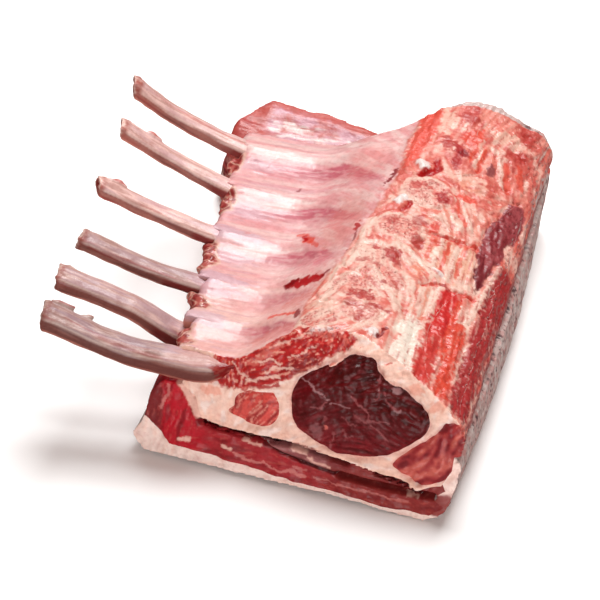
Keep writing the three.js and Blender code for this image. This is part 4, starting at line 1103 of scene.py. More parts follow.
def build_rib(k, sizes):
    """One bared rib, with its shreds, its uneven surface and its sawn tip."""
    course, run, across, up = rib_axes(k)
    girth = RIBS[k]["girth"]
    angle = np.arange(RIB_SIDES) / RIB_SIDES * math.tau
    slant_across, slant_up = TIP_SLANT[k]
    rows = []
    for i, share in enumerate(np.linspace(0, 1, len(course))):
        size = girth * (1 - RIB["waist"] * math.sin(math.pi * min(1, share * 2)))
        size *= 1 - 0.12 * (1 - smooth(share / 0.012))
        if k == len(RIBS) - 1:
            taper = smooth((course[i, 0] - LAST_RIB_TAPER["from"]) / LAST_RIB_TAPER["width"])
            size *= 1 - LAST_RIB_TAPER["share"] * taper
        c, s = (np.sign(v) * np.abs(v) ** RIB["squareness"] for v in (np.cos(angle), np.sin(angle)))
        ring = (course[i] + across[i] * c[:, None] * RIB_HALF[0] * size
                + up[i] * s[:, None] * RIB_HALF[1] * size)
        slant = (c * slant_across + s * slant_up) * max(0, 1 - share / 0.06)
        rows.append(ring - run[i] * slant[:, None])
    bone = loft(f"rib_{k + 1}_bone", rows)
    length = path_length(course)[-1]
    for n, (rib, radii, cord) in enumerate(RIB_SHREDS):
        if rib == k:
            spine = []
            for distance, aside, above in cord:
                i = int(np.argmin(np.abs(np.linspace(0, length, len(course)) - distance)))
                spine.append(course[i] + across[i] * aside * girth + up[i] * above * girth)
            shred = cord_body(f"shred_{n + 1}", spine, radii, 300 + n)
            boolean(bone, shred, "UNION")
            remove(shred)
    apply_modifier(bone, "REMESH", mode="VOXEL", voxel_size=sizes.rib_grain, adaptivity=0)
    points, normals = points_of(bone)
    distance, aside, above = on_rib(k, points)
    local = np.stack([distance * 0.16, aside, above], 1)
    shift = 20 + k
    height = 0.22 * GRAIN.layers(local, 3.5, 2, shift) + 0.16 * GRAIN(local, 1.1, shift)
    height += 0.25 * GRAIN.layers(points, 9, 2, shift + 5)
    corner = np.degrees(np.arctan2(above / RIB["thickness"], -aside / RIB["width"]))
    height += 0.35 * np.exp(-(((corner - 40) / 16) ** 2))
    height += fall(distance, 7, 7) * 0.45 * GRAIN.layers(points, 2.6, 2, shift + 9)
    hollow = fall(np.hypot(aside / RIB_HALF[0], above / RIB_HALF[1]) / girth, 0.55, 0.3)
    height -= 0.9 * hollow * fall(distance, 1, 2)
    points += normals * height[:, None]
    move_points(bone, points)
    return bone


# ------------------------------------------------------------------ colours
def linear(rgb):
    """A screen colour as linear light."""
    c = np.asarray(rgb, float) / 255
    return np.where(c <= 0.04045, c / 12.92, ((c + 0.055) / 1.055) ** 2.4)


def layer(colour, tone, mask):
    """Mixes a tone over a colour, as far as the mask says."""
    share = np.broadcast_to(np.clip(mask, 0, 1), len(colour))
    return colour + (linear(TONES[tone]) - colour) * share[:, None]


def coats(colour, steps):
    """Several layers, one over the other."""
    for tone, mask in steps:
        colour = layer(colour, tone, mask)
    return colour


def full(tone, count):
    """One tone at every point."""
    return np.tile(linear(TONES[tone]), (count, 1))


def spot_mask(spot, u, v, fray=0.0):
    """1 inside a turned ellipse, with a frayed border."""
    cu, cv, ru, rv, turn = spot
    c, s = math.cos(math.radians(turn)), math.sin(math.radians(turn))
    du, dv = u - cu, v - cv
    return smooth((1.2 - np.hypot((du * c + dv * s) / ru, (-du * s + dv * c) / rv) + 0.7 * fray) / 0.4)


def add_lines(colour, lines, u, v, fray=0.0):
    """Paints lines, each a tone, a half width, a strength and its points."""
    for tone, half, strength, points in lines:
        distance, _ = line_distance(points, u, v)
        mask = smooth((half * 1.25 - distance + 0.5 * half * fray) / (half * 0.5))
        colour = layer(colour, tone, strength * mask)
    return colour


def add_spots(colour, spots, u, v, fray=0.0):
    """Paints spots, each a tone, a strength and an ellipse."""
    for tone, strength, spot in spots:
        colour = layer(colour, tone, strength * spot_mask(spot, u, v, fray))
    return colour


def warped(points):
    """Points moved about a little, so that painted borders are uneven."""
    return np.stack([
        points[:, a] + 0.7 * GRAIN.layers(points, 4, 2, 60 + a) + 0.3 * GRAIN(points, 1.3, 70 + a)
        for a in range(3)
    ], 1)


def skin_streaks(points, size, shift):
    """Streaks that run out along the ribs and bend towards the near end beside the backbone."""
    x, y, z = points.T
    return GRAIN.layers(np.stack([x * 0.1, y + 0.02 * np.maximum(0, x + 18) ** 2, z], 1), size, 2, shift)


def skin_colour(points, x, y):
    """The shiny skin inside the ribs: pale, with soft mauve folds between them that are partly painted shade,
    streaked lengthwise, with painted highlights.
    """
    streak, wide = 0.8 * skin_streaks(points, 1.5, 131), skin_streaks(points, 5, 31)
    colour = layer(full("skin", len(x)), "crest", smooth(0.5 + 0.9 * wide + 0.3 * streak))
    colour = layer(colour, "low", 0.5 * fall(y, 75, 30))
    # The mauve in the folds is partly the tissue's own tone and partly painted shade.
    for band in SKIN_BANDS:
        px, py, strength = np.array(band).T
        off = y - np.interp(x, px, py) - 1.2 * wide
        mask = np.exp(-((off / np.where(off > 0, 1.6, 7)) ** 2)) * np.interp(x, px, strength) * 1.8
        colour = layer(colour, "mauve", mask * (0.85 + 0.9 * streak) * smooth((px[-1] + 1 - x) / 6))
    colour = add_spots(colour, SKIN_TINTS, x, y, streak)
    # The white coat on the streaks is a painted highlight.
    colour = coats(colour, (
        ("white", 0.16 * ramp(streak, 0.12, 0.4) * smooth(0.4 + wide)),
        ("salmon", 0.35 * ramp(-streak, 0.12, 0.4) * ramp(x, -40, 40)),
        ("lilac", 0.35 * ramp(-streak, 0.12, 0.4) * fall(x, 10, 40)),
    ))
    fray = GRAIN.layers(points, 2, 3, 135) + 0.6 * streak
    colour = add_lines(colour, SKIN_LINES, x, y, fray)
    colour = add_spots(colour, SKIN_SPOTS, x, y, fray)
    for outline, _ in SCRAPS:
        inside = -ring_distance(outline, x, y)
        colour = layer(colour, "scrap", smooth(inside / 0.9 + 0.4))
        dark = 0.85 * smooth((GRAIN.layers(points, 3, 2, 133) + 0.2) / 0.4) * smooth(inside / 1.2)
        colour = coats(colour, (
            ("scrap_dark", dark),
            ("cream", 0.75 * np.exp(-(((inside - 0.4) / 0.6) ** 2))),
            ("cream_warm", 0.8 * smooth(inside) * ridges(points, 4, 134)),
        ))
    return colour


def face_colour(points, x, y):
    """The sawn backbone side: pale fibres with red meat, orange strips, porous bone and clean fat."""
    run = fibre_run(FACE_FIBRES, x, y, 2)
    fine, coarse = drawn_out(points, run, 1.3, 4, 36), drawn_out(points, run, 3.2, 7, 136)
    broad = GRAIN.layers(points, 11, 2, 236)
    fray = 0.5 * coarse + 0.5 * fine + 1.1 * GRAIN.layers(points, 4, 3, 237)
    patches = GRAIN.layers(points, 6, 3, 239)
    far = ramp(y, 80, 30)
    pink = smooth(0.45 + 1.2 * coarse + 0.9 * broad + 0.25 * far)
    colour = layer(full("face_base", len(x)), "face_pink", pink)
    colour = coats(colour, (
        ("cream", (0.85 - 0.35 * far) * ramp(-0.8 * coarse - 0.7 * broad, 0.04, 0.4)),
        ("face_meat", 0.7 * ramp(0.5 * coarse + 0.8 * broad + 0.1 * far, 0.2, 0.3)),
        ("far_light", 0.7 * ramp(y, 132, 10) * ramp(x, 30, 8) * smooth(0.5 + 0.9 * coarse)),
        ("far_meat", 0.75 * ramp(y, 126, 12) * ramp(x, 30, 8) * ramp(patches, -0.05, 0.3)),
        ("face_meat", 0.6 * ramp(y, 74, 10) * fall(x, 28, 8) * smooth(0.4 + patches)),
    ))
    pores = pores_on_face(x, y)
    speckle = GRAIN.layers(points, 1.1, 2, 238)
    colour = coats(colour, (
        ("cream", 0.8 * smooth((0.5 - np.abs(pores - 0.35)) / 0.3) * (pores > 0.02)),
        ("porous", 0.7 * ramp(pores, 0.5, 0.2) * smooth(0.8 + patches)),
        ("bone_meat", 0.7 * pores * ramp(speckle + 0.5 * patches, 0.1, 0.35)),
        ("cream", 0.5 * pores * ramp(-speckle, 0.1, 0.35)),
    ))
    calm = [mark for mark in FACE_SPOTS if mark[0] not in FRESH_TONES + PORE_TONES]
    colour = add_spots(colour, calm, x, y, fray)
    colour = add_lines(colour, [mark for mark in FACE_LINES if mark[0] not in FRESH_TONES], x, y, fray)
    streaks = (1 - 0.6 * far) * (1 - 0.7 * pores)
    colour = layer(colour, "cream", 0.5 * streaks * ramp(fine, 0.16, 0.4))
    colour = layer(colour, "far_red", 0.45 * ramp(-fine, 0.14, 0.4))
    ragged_edge = 0.8 * GRAIN.layers(points, 2.6, 3, 240) + 0.4 * fine
    colour = add_spots(colour, [mark for mark in FACE_SPOTS if mark[0] in FRESH_TONES], x, y, ragged_edge)
    colour = add_lines(colour, [mark for mark in FACE_LINES if mark[0] in FRESH_TONES], x, y, ragged_edge)
    colour = coats(colour, (
        ("cream", 0.3 * pores * ramp(-speckle, 0.05, 0.35)),
        ("cream", 0.25 * (1 - far) * ramp(fine, 0.2, 0.3) * ramp(x, 34, 4)),
        ("edge_red", 0.3 * ramp(-fine, 0.2, 0.3) * ramp(x, 34, 4)),
    ))
    inside = -ring_distance(DARK_MUSCLE, x, y) + 0.7 * fray
    dark = smooth(inside / 0.8 + 0.5)
    colour = coats(colour, (
        ("dark", dark),
        ("dark_light", 0.7 * dark * smooth(0.3 + 0.8 * fine + 0.7 * broad)),
        ("dark_low", 0.35 * dark * ramp(-fine, 0.1, 0.4)),
    ))
    return layer(colour, "dark_low", 0.6 * dark * fall(y, 100, 25))


def pores_on_face(x, y):
    """How porous the sawn face is."""
    pores = np.zeros(len(x))
    for tone, strength, spot in FACE_SPOTS:
        if tone in PORE_TONES:
            pores = np.maximum(pores, strength * spot_mask(spot, x, y))
    return pores


def near_colour(node, points, x, z):
    """The near cut, piece by piece."""
    count = len(x)
    run = fibre_run(NEAR_FIBRES, x, z, 1)
    fine, coarse = drawn_out(points, run, 0.9, 2, 40), drawn_out(points, run, 2.4, 4, 140)
    fray = 0.7 * coarse + 0.5 * fine
    if node == "eye_muscle":
        colour = layer(full("eye", count), "eye_deep", smooth((z - 40 + 0.3 * (x - 20)) / 12 + 0.8 * coarse))
        colour = coats(colour, (
            ("eye_red", smooth((34 - z) / 16 + 0.8 * coarse)),
            ("eye_pale", 0.22 * ramp(fine, 0.15, 0.4)),
            ("eye_deep", 0.6 * ramp(-fine, 0.2, 0.4)),
        ))
        colour = add_spots(colour, EYE_SPOTS, x, z, fray)
        return add_lines(colour, EYE_LINES, x, z, fray)
    if node == "small_muscle":
        colour = layer(full("small", count), "small_dark", smooth(0.3 + 1.3 * coarse))
        colour = layer(colour, "striated_pink", 0.6 * ramp(coarse + 0.8 * fine, 0.3, 0.3))
        colour = layer(colour, "brown", 0.4 * ramp(-fine, 0.12, 0.3))
        return layer(colour, "near_fat_low", 0.35 * ramp(fine + 0.4 * coarse, 0.24, 0.3))
    if node == "back_muscle":
        colour = layer(full("back", count), "back_light", smooth(0.25 + 1.3 * coarse))
        colour = layer(colour, "back_dark", 0.8 * ramp(-coarse, 0.1, 0.4))
        return layer(colour, "fascia", 0.55 * ramp(0.8 * coarse + 0.6 * fine, 0.36, 0.2))
    if node == "cap_muscle":
        colour = layer(full("cap_mid", count), "cap_left", smooth((-27 - x + 5 * coarse) / 15))
        colour = coats(colour, (
            ("cap_right", ramp(x, 5, 20)),
            ("cap_margin", smooth((-47 - x + 1.5 * coarse) / 3)),
            ("back_dark", 0.5 * ramp(-coarse, 0.1, 0.4)),
            ("back_light", 0.35 * ramp(fine, 0.2, 0.4)),
        ))
        border = smooth(-ring_distance(CAP_BORDER, x, z) / 1.2 + 0.5 + 0.4 * fray)
        colour = layer(colour, "fascia_pale", border)
        return add_lines(colour, CAP_LINES, x, z, fray)
    if node == "cap_strip":
        colour = layer(full("cap_strip", count), "strip_grey", fall(x, 19, 5))
        colour = layer(colour, "back_dark", 0.5 * ramp(-coarse, 0.1, 0.4))
        return add_lines(colour, CAP_LINES, x, z, fray)
    if node == "fat_cap":
        colour = layer(full("cap_fat", count), "near_fat_low", 0.4 * smooth(coarse + 0.2))
        seam = 0.6 * smooth((z - 3.6 + 0.05 * x) / 2) * fall(x, 20, 6) * ramp(x, -46, 4)
        colour = layer(colour, "fascia", seam)
        corner = ramp(x, 56, 2) * smooth((66 + coarse - x) / 1.5) * fall(z, 12.5, 2) * ramp(z, 2.4, 1)
        colour = layer(colour, "cap_right", 0.95 * corner)
        return layer(colour, "back_dark", ramp(z, 7, 1.2) * fall(x, 57, 2) * ramp(x, -48, 3))
    colour = layer(full("near_fat", count), "near_fat_low", fall(z, 24, 6) * 0.5)
    colour = layer(colour, "near_fat_low", 0.6 * smooth(coarse + 0.1))
    colour = layer(colour, "white", 0.5 * ramp(-coarse, 0.2, 0.4))
    meat = smooth(-ring_distance(RED_TOP, x, z) / 0.9 + 0.5 + 0.9 * fray)
    colour = layer(colour, "striated", 0.98 * meat)
    colour = add_spots(colour, NEAR_SPOTS, x, z, fray)
    colour = coats(colour, (
        ("striated_pink", meat * 0.75 * ramp(fine + 0.3 * coarse, 0.1, 0.3)),
        ("near_fat_low", meat * 0.5 * ramp(fine, 0.38, 0.15)),
        ("brown", meat * 0.6 * ramp(-fine, 0.1, 0.3)),
    ))
    colour = add_lines(colour, NEAR_LINES, x, z, fray)
    for ring in (EYE_CUT, BACK_CUT):
        rim = ring_distance(ring, x, z)
        colour = layer(colour, "fascia", 0.5 * np.exp(-((rim / 0.7) ** 2)))
    return colour


def far_colour(node, points):
    """The far cut: the same lean and fat as on the near one, loosely marbled."""
    marbling, fine = GRAIN.layers(points, 6, 4, 61), GRAIN.layers(points * (1, 1, 0.5), 1.6, 3, 62)
    base, second = FAR_TONES.get(node, ("near_fat", "near_fat_low"))
    colour = layer(full(base, len(points)), second, 0.8 * smooth(0.4 + 1.2 * marbling + 0.5 * fine))
    if node in FAR_TONES:
        vein = "eye_pale" if node == "eye_muscle" else "fascia"
        colour = layer(colour, vein, 0.4 * ramp(fine + 0.5 * marbling, 0.3, 0.2))
    return colour


def flap_colour(points, x, y):
    """The flap beyond the sheet: violet skin with a painted highlight in white streaks, and a red rim."""
    streak = skin_streaks(points, 1.6, 47)
    violet = smooth(GRAIN.layers(points, 9, 3, 47) + 0.5 + 0.4 * streak)
    colour = layer(full("flap_pink", len(x)), "flap_violet", violet)
    # Painted highlight: white streaks where the wet flap catches the light.
    painted_highlight = spot_mask(FLAP_HIGHLIGHT, x, y, GRAIN.layers(points, 6, 2, 48))
    colour = layer(colour, "white", painted_highlight * smooth(0.35 + 1.3 * streak))
    rim = smooth((y - flap_cut(x) + 6) / 3 + 0.5 * GRAIN.layers(points, 5, 2, 148))
    colour = layer(colour, "flap_red", np.maximum(rim * 0.9, fall(x, -49, 5) * 0.9))
    red = 0.6 * smooth((-50 - x) / 5 + rim) * smooth(GRAIN.layers(points, 4, 2, 149) + 0.2)
    return layer(colour, "edge_red", red)


def side_colour(node, points, x, y, z):
    """Walls and underside: fat with a trace of netting on it."""
    count = len(x)
    patchy = GRAIN.layers(points, 8, 3, 49)
    colour = layer(full("wall", count), "wall_pink", 0.5 * smooth(patchy * 1.4 + 0.1))
    colour = layer(colour, "wall_pale", 0.8 * smooth((GRAIN.layers(points, 5, 3, 50) - 0.05) / 0.4))
    wall = ramp(x, 55, 6)
    colour = layer(colour, "wall_dot", 0.95 * wall * dots(y, z, 2.4, 0.62, 9) * smooth(0.8 + patchy))
    colour = layer(colour, "wall_pink", 0.5 * wall * dots(y + 1.2, z + 0.7, 3.4, 1.1, 10))
    if node in CAP_LEAN:
        behind = ramp(y, 14, 12)
        colour = layer(full("cap_margin", count), "cap_left", smooth(0.5 + patchy))
        drawn = GRAIN.layers(points * (1, 0.35, 1), 5, 3, 52)
        colour = layer(colour, "fascia", 0.6 * behind * ramp(drawn, 0.15, 0.3))
        threads = GRAIN.layers(points * (1, 0.12, 1), 2.6, 3, 53)
        colour = layer(colour, "fascia_pale", 0.45 * behind * ramp(threads, 0.3, 0.2))
    if node not in CAP_NODES:
        far = smooth((y - far_cut(x) + 12) / 6) * np.maximum(fall(x, 66, 4), ramp(z, 26, 6))
        rim = np.maximum(far, ramp(z, 38, 5))
        colour = layer(colour, "far_meat", 0.9 * rim * smooth(0.6 + patchy))
        colour = layer(colour, "cream", 0.7 * rim * ramp(-patchy, 0.1, 0.4))
    if node == "back_muscle":
        colour = layer(colour, "edge_red", 0.7)
    if node == "rib_sheet":
        colour = layer(full("sheet_edge", count), "cream_warm", 0.6 * smooth(patchy + 0.2))
    return colour


def fill(colour, share, make):
    """Lays what `make` gives over a colour, worked out only where its share is above nothing."""
    at = np.flatnonzero(share > 0.004)
    if len(at):
        colour[at] += (make(at) - colour[at]) * share[at][:, None]
    return colour


def paint(node, points, normals):
    """Colour and pores at every point of a soft piece."""
    bent = warped(points)
    x, y, z = bent.T
    up = ramp(normals[:, 2], 0.12, 0.3)
    face = ramp(x - skin_edge(y), -1, 2)
    beyond = smooth((points[:, 1] - far_cut(points[:, 0]) + 0.5) / 1.5)
    near = near_share(points, normals)
    behind = points[:, 1] - near_cut(points[:, 0], points[:, 2])
    if node in ("eye_muscle", "small_muscle"):
        near = fall(behind, 9, 3)
    if node in CAP_LEAN:
        near = np.maximum(near, fall(behind, 14, 4) * ramp(points[:, 0], -58, 4))
    colour = side_colour(node, points, *points.T)
    if node not in CAP_NODES:
        colour = fill(colour, up * (1 - face), lambda at: skin_colour(points[at], x[at], y[at]))
        colour = fill(colour, up * face, lambda at: face_colour(points[at], x[at], y[at]))
    else:
        colour = fill(colour, up * beyond, lambda at: flap_colour(points[at], x[at], y[at]))
    far_end = ramp(normals[:, 1], 0.45, 0.25) * (1 - up) * (1 - near)
    colour = fill(colour, far_end, lambda at: far_colour(node, points[at]))
    colour = fill(colour, near, lambda at: near_colour(node, points[at], x[at], z[at]))
    # Painted shade: the open gaps between the layers are painted near black, darker than their sunk relief
    # alone shades them.
    gape = np.zeros(len(x))
    for _, half, line in GAPES:
        distance, _ = line_distance(line, points[:, 0], points[:, 2])
        gape = np.maximum(gape, np.exp(-((distance / (half * 1.1)) ** 2)))
    colour = layer(colour, "gape", 0.9 * gape * near)
    # Painted light: the paint is made lighter or darker by which way the surface faces.
    gain = near * PAINT_GAIN["near"] + (1 - near) * (up * PAINT_GAIN["up"] + (1 - up) * PAINT_GAIN["side"])
    colour = colour * (gain * (1 + 0.08 * GRAIN.layers(points, 2.4, 3, 51)))[:, None] - SHEEN
    return colour, pores_on_face(x, y) * up * face * (1 - beyond)


def paint_rib(k, points):
    """Lilac above, painted highlights along both edges, brown on the near side and underneath that is partly
    painted shade, all streaked lengthwise.
    """
    distance, aside, above = on_rib(k, points)
    local = np.stack([distance * 0.08, aside, above], 1)
    streak = GRAIN.layers(local, 1.6, 2, 80 + k)
    slow = GRAIN.layers(points, 9, 2, 180 + k)
    # 90 degrees above, 0 on the near side
    turn = np.degrees(np.arctan2(above / RIB["thickness"], -aside / RIB["width"])) + 5 * streak + 4 * slow
    later = k / (len(RIBS) - 1)
    lilac = (0.5 + 0.5 * later) * smooth(0.55 + 1.4 * streak + 0.5 * slow)
    colour = layer(full("bone", len(turn)), "bone_lilac", lilac)
    # The pale far upper edge (bone_edge above 115 degrees) is a painted highlight.
    colour = coats(colour, (
        ("bone_brown", 0.5 * ramp(-streak, 0.12, 0.3)),
        ("bone_edge", 0.7 * ramp(turn, 115, 20) * smooth(0.7 + slow)),
        ("bone_rim", 0.7 * ramp(turn, 140, 15)),
    ))
    # The near side and the underside are painted brown, partly the bone's own tone and partly painted shade.
    under = fall(turn, 32, 10)
    side = layer(full("bone_side", len(turn)), "bone_brown", smooth(0.1 + later + 0.9 * streak))
    colour += (side - colour) * under[:, None]
    colour = layer(colour, "bone_rim", 0.9 * fall(turn, -16, 10) * smooth((80 + turn) / 20))
    colour = layer(colour, "bone_brown", fall(turn, -70, 20))
    root = smooth((points[:, 0] + 60 + 4 * slow) / 5) * fall(turn, 30, 14) * fall(points[:, 0], -30, 4)
    # The pale line at 37 degrees, on the ridge between the top and the near side, is a painted highlight.
    colour = coats(colour, (
        ("scrap_dark", (0.85 if k < len(RIBS) - 1 else 0.2) * root),
        ("bone_edge", 0.85 * np.exp(-(((turn - 37) / 6) ** 2)) * smooth(0.8 + streak)),
        ("bone_meat", 0.4 * smooth((GRAIN.layers(local, 3, 2, 90 + k) - 0.4) / 0.3)),
        ("bone_tip", fall(distance, 3.4, 3) * (0.4 + 0.6 * smooth(streak + 0.5))),
    ))
    out = np.hypot(aside / RIB_HALF[0], above / RIB_HALF[1]) / RIBS[k]["girth"]
    colour = coats(colour, (
        ("marrow", 0.85 * fall(out, 0.7, 0.25) * fall(distance, 1.4, 1.2)),
        ("bone_edge", 0.8 * np.exp(-(((out - 0.86) / 0.1) ** 2)) * fall(distance, 1.2, 1)),
        ("scrap", 0.8 * ramp(out, 1.16, 0.15) * fall(distance, 22, 4)),
    ))
    colour = fill(colour, smooth((points[:, 0] + 52 + 3 * slow) / 8) * ramp(turn, 40, 16),
                  lambda at: skin_colour(points[at], points[at, 0], points[at, 1]))
    if k == len(RIBS) - 1:
        meat = smooth((points[:, 0] + 29 + 3 * streak) / 2) * fall(turn, 75, 20)
        colour = layer(colour, "rib_meat", meat)
        colour = layer(colour, "striated_pink", 0.5 * meat * ramp(streak, 0.1, 0.3))
    # Painted light: the rib's paint is scaled by its own gain.
    return colour * RIB_GAIN[k] - SHEEN, 0.5 * fall(distance, 3, 2)


def store(piece, colour, pores):
    """Keeps colour and pores on the mesh, where the material reads them."""
    mesh = piece.data
    tone = mesh.attributes.new("tone", "FLOAT_COLOR", "POINT")
    rgba = np.ones((len(colour), 4))
    rgba[:, :3] = np.clip(colour, 0.002, 1)
    tone.data.foreach_set("color", rgba.ravel())
    mesh.attributes.new("pores", "FLOAT", "POINT").data.foreach_set("value", np.clip(pores, 0, 1))


# ------------------------------------------------------------------ materials
# Scales of the two noises and of the pits, depth of the relief in metres, and how the wetness shines.
FLESH = {"fine": 900, "coarse": 260, "pits": 900, "relief": 0.0004, "coat_roughness": 0.12, "specular": 0.3}
MOTTLES = {"coarse": (0.55, 0.2, 0.18, 1), "fine": (0.74, 0.5, 0.48, 1)}


class Wire:
    """One output in a material's nodes, on which sums are written as in plain maths."""

    def __init__(self, tree, socket):
        self.tree, self.socket = tree, socket

    def maths(self, operation, first, second):
        return node(self.tree, "ShaderNodeMath", {"operation": operation}, {0: first, 1: second})

    def __add__(self, other):
        return self.maths("ADD", self, other)

    __radd__ = __add__

    def __sub__(self, other):
        return self.maths("SUBTRACT", self, other)

    def __rsub__(self, other):
        return self.maths("SUBTRACT", other, self)

    def __mul__(self, other):
        return self.maths("MULTIPLY", self, other)

    __rmul__ = __mul__

    def between(self, low, high):
        """0 below `low`, 1 above `high`, and even in between."""
        return node(self.tree, "ShaderNodeMapRange", {"clamp": True}, {0: self, 1: low, 2: high, 3: 0, 4: 1})


def node(tree, kind, settings=None, values=None, output=0):
    """Adds a node: its settings first, then the values or links of its sockets."""
    item = tree.nodes.new(kind)
    for key, value in (settings or {}).items():
        setattr(item, key, value)
    for key, value in (values or {}).items():
        if isinstance(value, Wire):
            tree.links.new(value.socket, item.inputs[key])
        else:
            item.inputs[key].default_value = value
    return Wire(tree, item.outputs[output]) if len(item.outputs) else None


def tinted(tree, base, tint, factor, blend="MIX"):
    """A colour mixed towards another."""
    return node(tree, "ShaderNodeMix", {"data_type": "RGBA", "blend_type": blend},
                {0: factor, 6: base, 7: tint}, 2)


def flesh(name, mottle, pore_tint, bump, roughness, coat):
    """A wet organic finish over the painted tones."""
    material = bpy.data.materials.new(name)
    material.use_nodes = True
    tree = material.node_tree
    tree.nodes.clear()
    place_at = node(tree, "ShaderNodeTexCoord", output=3)
    tone = node(tree, "ShaderNodeAttribute", {"attribute_name": "tone"})
    pores = node(tree, "ShaderNodeAttribute", {"attribute_name": "pores"}, output=2)
    fine = node(tree, "ShaderNodeTexNoise", None, {"Vector": place_at, "Scale": FLESH["fine"], "Detail": 4})
    coarse = node(tree, "ShaderNodeTexNoise", None,
                  {"Vector": place_at, "Scale": FLESH["coarse"], "Detail": 5})
    pits = node(tree, "ShaderNodeTexVoronoi", None, {"Vector": place_at, "Scale": FLESH["pits"]})
    pit_mask = pores * (1 - pits.between(0.1, 0.42)) * fine.between(0.36, 0.6)
    colour = tinted(tree, tone, MOTTLES["coarse"], mottle * coarse.between(0.5, 0.75), "MULTIPLY")
    colour = tinted(tree, colour, MOTTLES["fine"], mottle * fine.between(0.48, 0.66), "MULTIPLY")
    colour = tinted(tree, colour, pore_tint, pit_mask * 0.75)
    height = fine * 0.5 + coarse * 0.8 - pit_mask * 1.6
    normal = node(tree, "ShaderNodeBump", None,
                  {"Strength": bump, "Distance": FLESH["relief"], "Height": height})
    rough = roughness + 0.22 * (coarse - 0.5) + pores * 0.12
    shader = node(tree, "ShaderNodeBsdfPrincipled", None, {
        "Base Color": colour, "Roughness": rough, "Normal": normal, "Coat Weight": coat,
        "Coat Roughness": FLESH["coat_roughness"], "Specular IOR Level": FLESH["specular"],
    })
    node(tree, "ShaderNodeOutputMaterial", None, {"Surface": shader})
    return material


# Each finish: mottle, tint of the pores, bump, roughness and coat.
FINISHES = {
    "bone": (0.25, (0.3, 0.08, 0.07, 1), 0.5, 0.42, 0.08),
    "sawn_bone": (0.3, (0.42, 0.1, 0.09, 1), 0.8, 0.5, 0.06),
    "fat": (0.26, (0.5, 0.14, 0.12, 1), 0.5, 0.42, 0.1),
    "inner_skin": (0.2, (0.5, 0.2, 0.2, 1), 0.35, 0.33, 0.18),
    "eye_meat": (0.3, (0.1, 0.02, 0.02, 1), 0.7, 0.4, 0.08),
    "red_meat": (0.3, (0.2, 0.03, 0.03, 1), 0.7, 0.38, 0.14),
    "cap_meat": (0.3, (0.15, 0.02, 0.02, 1), 0.7, 0.38, 0.14),
    "pale_meat": (0.3, (0.25, 0.06, 0.06, 1), 0.7, 0.38, 0.14),
}
SLOTS = {
    "spinal_strip": "red_meat", "neck_muscle": "red_meat", "shoulder_muscle": "red_meat",
    "small_muscle": "red_meat", "back_muscle": "red_meat", "dark_muscle": "eye_meat",
    "eye_muscle": "eye_meat", "rib_sheet": "inner_skin", "cap_muscle": "cap_meat",
    "cap_strip": "pale_meat", "seam_fat": "fat", "fat_cap": "fat",
    **{f"vertebra_{k + 1}": "sawn_bone" for k in range(len(VERTEBRA_Y))},
    **{f"rib_{k + 1}": "bone" for k in range(len(RIBS))},
}


def finish_piece(piece, node_name, colour, pores):
    """Stores the paint, smooths, gives the finish, hangs the piece on the root and hides the solid that it
    stands for.
    """
    store(piece, colour, pores)
    slot = SLOTS[node_name]
    material = bpy.data.materials.get(f"raw_{slot}") or flesh(f"raw_{slot}", *FINISHES[slot])
    piece.data.materials.clear()
    piece.data.materials.append(material)
    select_only(piece)
    bpy.ops.object.shade_smooth_by_angle(angle=math.radians(SMOOTH_UNDER))
    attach(piece, "root")
    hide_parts(node_name)


def cut_piece(mass, region, node_name):
    """Takes the part of a mass inside a region out of it, as a piece of its own."""
    piece = copy_of(mass, f"{node_name}_cut")
    boolean(piece, region, "INTERSECT")
    boolean(mass, region, "DIFFERENCE")
    remove(region)
    finish_piece(piece, node_name, *paint(node_name, *points_of(piece)))


def cut_lump(name, radii, at, sink, turn, shift):
    """Takes a rounded piece out of the sawn face; its middle lies `sink` under the face."""
    x, y = at
    region = lump(name, radii, (x, y, top_height(x, y) - sink), turn, shift)
    cut_piece(bpy.data.objects["loin_block"], region, name)


def finish_rest(mass, node_name):
    """Finishes what is left of a mass as a piece of its own."""
    mass.name = f"{node_name}_cut"
    finish_piece(mass, node_name, *paint(node_name, *points_of(mass)))


# ------------------------------------------------------------------ the add-on
# Each light: its name, place, aim, size and the property that holds its power.
LIGHTS = (
    ("key", (0.1, 0.55, 1.3), (0, 0, 0.02), 0.75, "light_power"),
    ("fill", (0.2, -1.6, 0.5), (0, 0, 0.03), 1.2, "fill_power"),
    ("rim", (-0.5, 1.3, 0.9), (0, 0, 0.03), 0.5, "rim_power"),
)
CAMERA = {"at": (175.524, -735.008, 652.567), "azimuth": 13, "elevation": 37}  # in the cutting frame
LENS = {"lens": 162, "sensor_width": 36, "clip_start": 0.01}
FLOOR = {"size": 6, "drop": 0.0002, "roughness": 0.9, "specular": 0.1}
SMOOTH_UNDER = 55  # degrees between two faces


class RackSizes(bpy.types.PropertyGroup):
    """Sizes that a user would change."""

    grain: FloatProperty(name="Meat detail", description="Size of the smallest form in the meat",
                         default=0.00052, min=0.0004, unit="LENGTH")
    underside_share: FloatProperty(name="Faces kept", description="Share of the faces kept when the flat "
                                   "underside is thinned", default=0.82, min=0.5, max=1, subtype="FACTOR")
    rib_grain: FloatProperty(name="Bone detail", description="Size of the smallest form on the ribs",
                             default=0.00045, min=0.0003, unit="LENGTH")
    edge_teeth: FloatProperty(name="Free edge", description="How far the free edge steps in and out",
                              default=0.004, unit="LENGTH")
    light_power: FloatProperty(name="Key light", description="Power of the large light above and behind",
                               default=27.0, unit="POWER")
    fill_power: FloatProperty(name="Fill light", description="Power of the light in front, low",
                              default=13.0, unit="POWER")
    rim_power: FloatProperty(name="Rim light", description="Power of the light behind",
                             default=3.0, unit="POWER")
    surround: FloatProperty(name="Surround", description="Strength of the light from all round",
                            default=0.27, subtype="FACTOR")


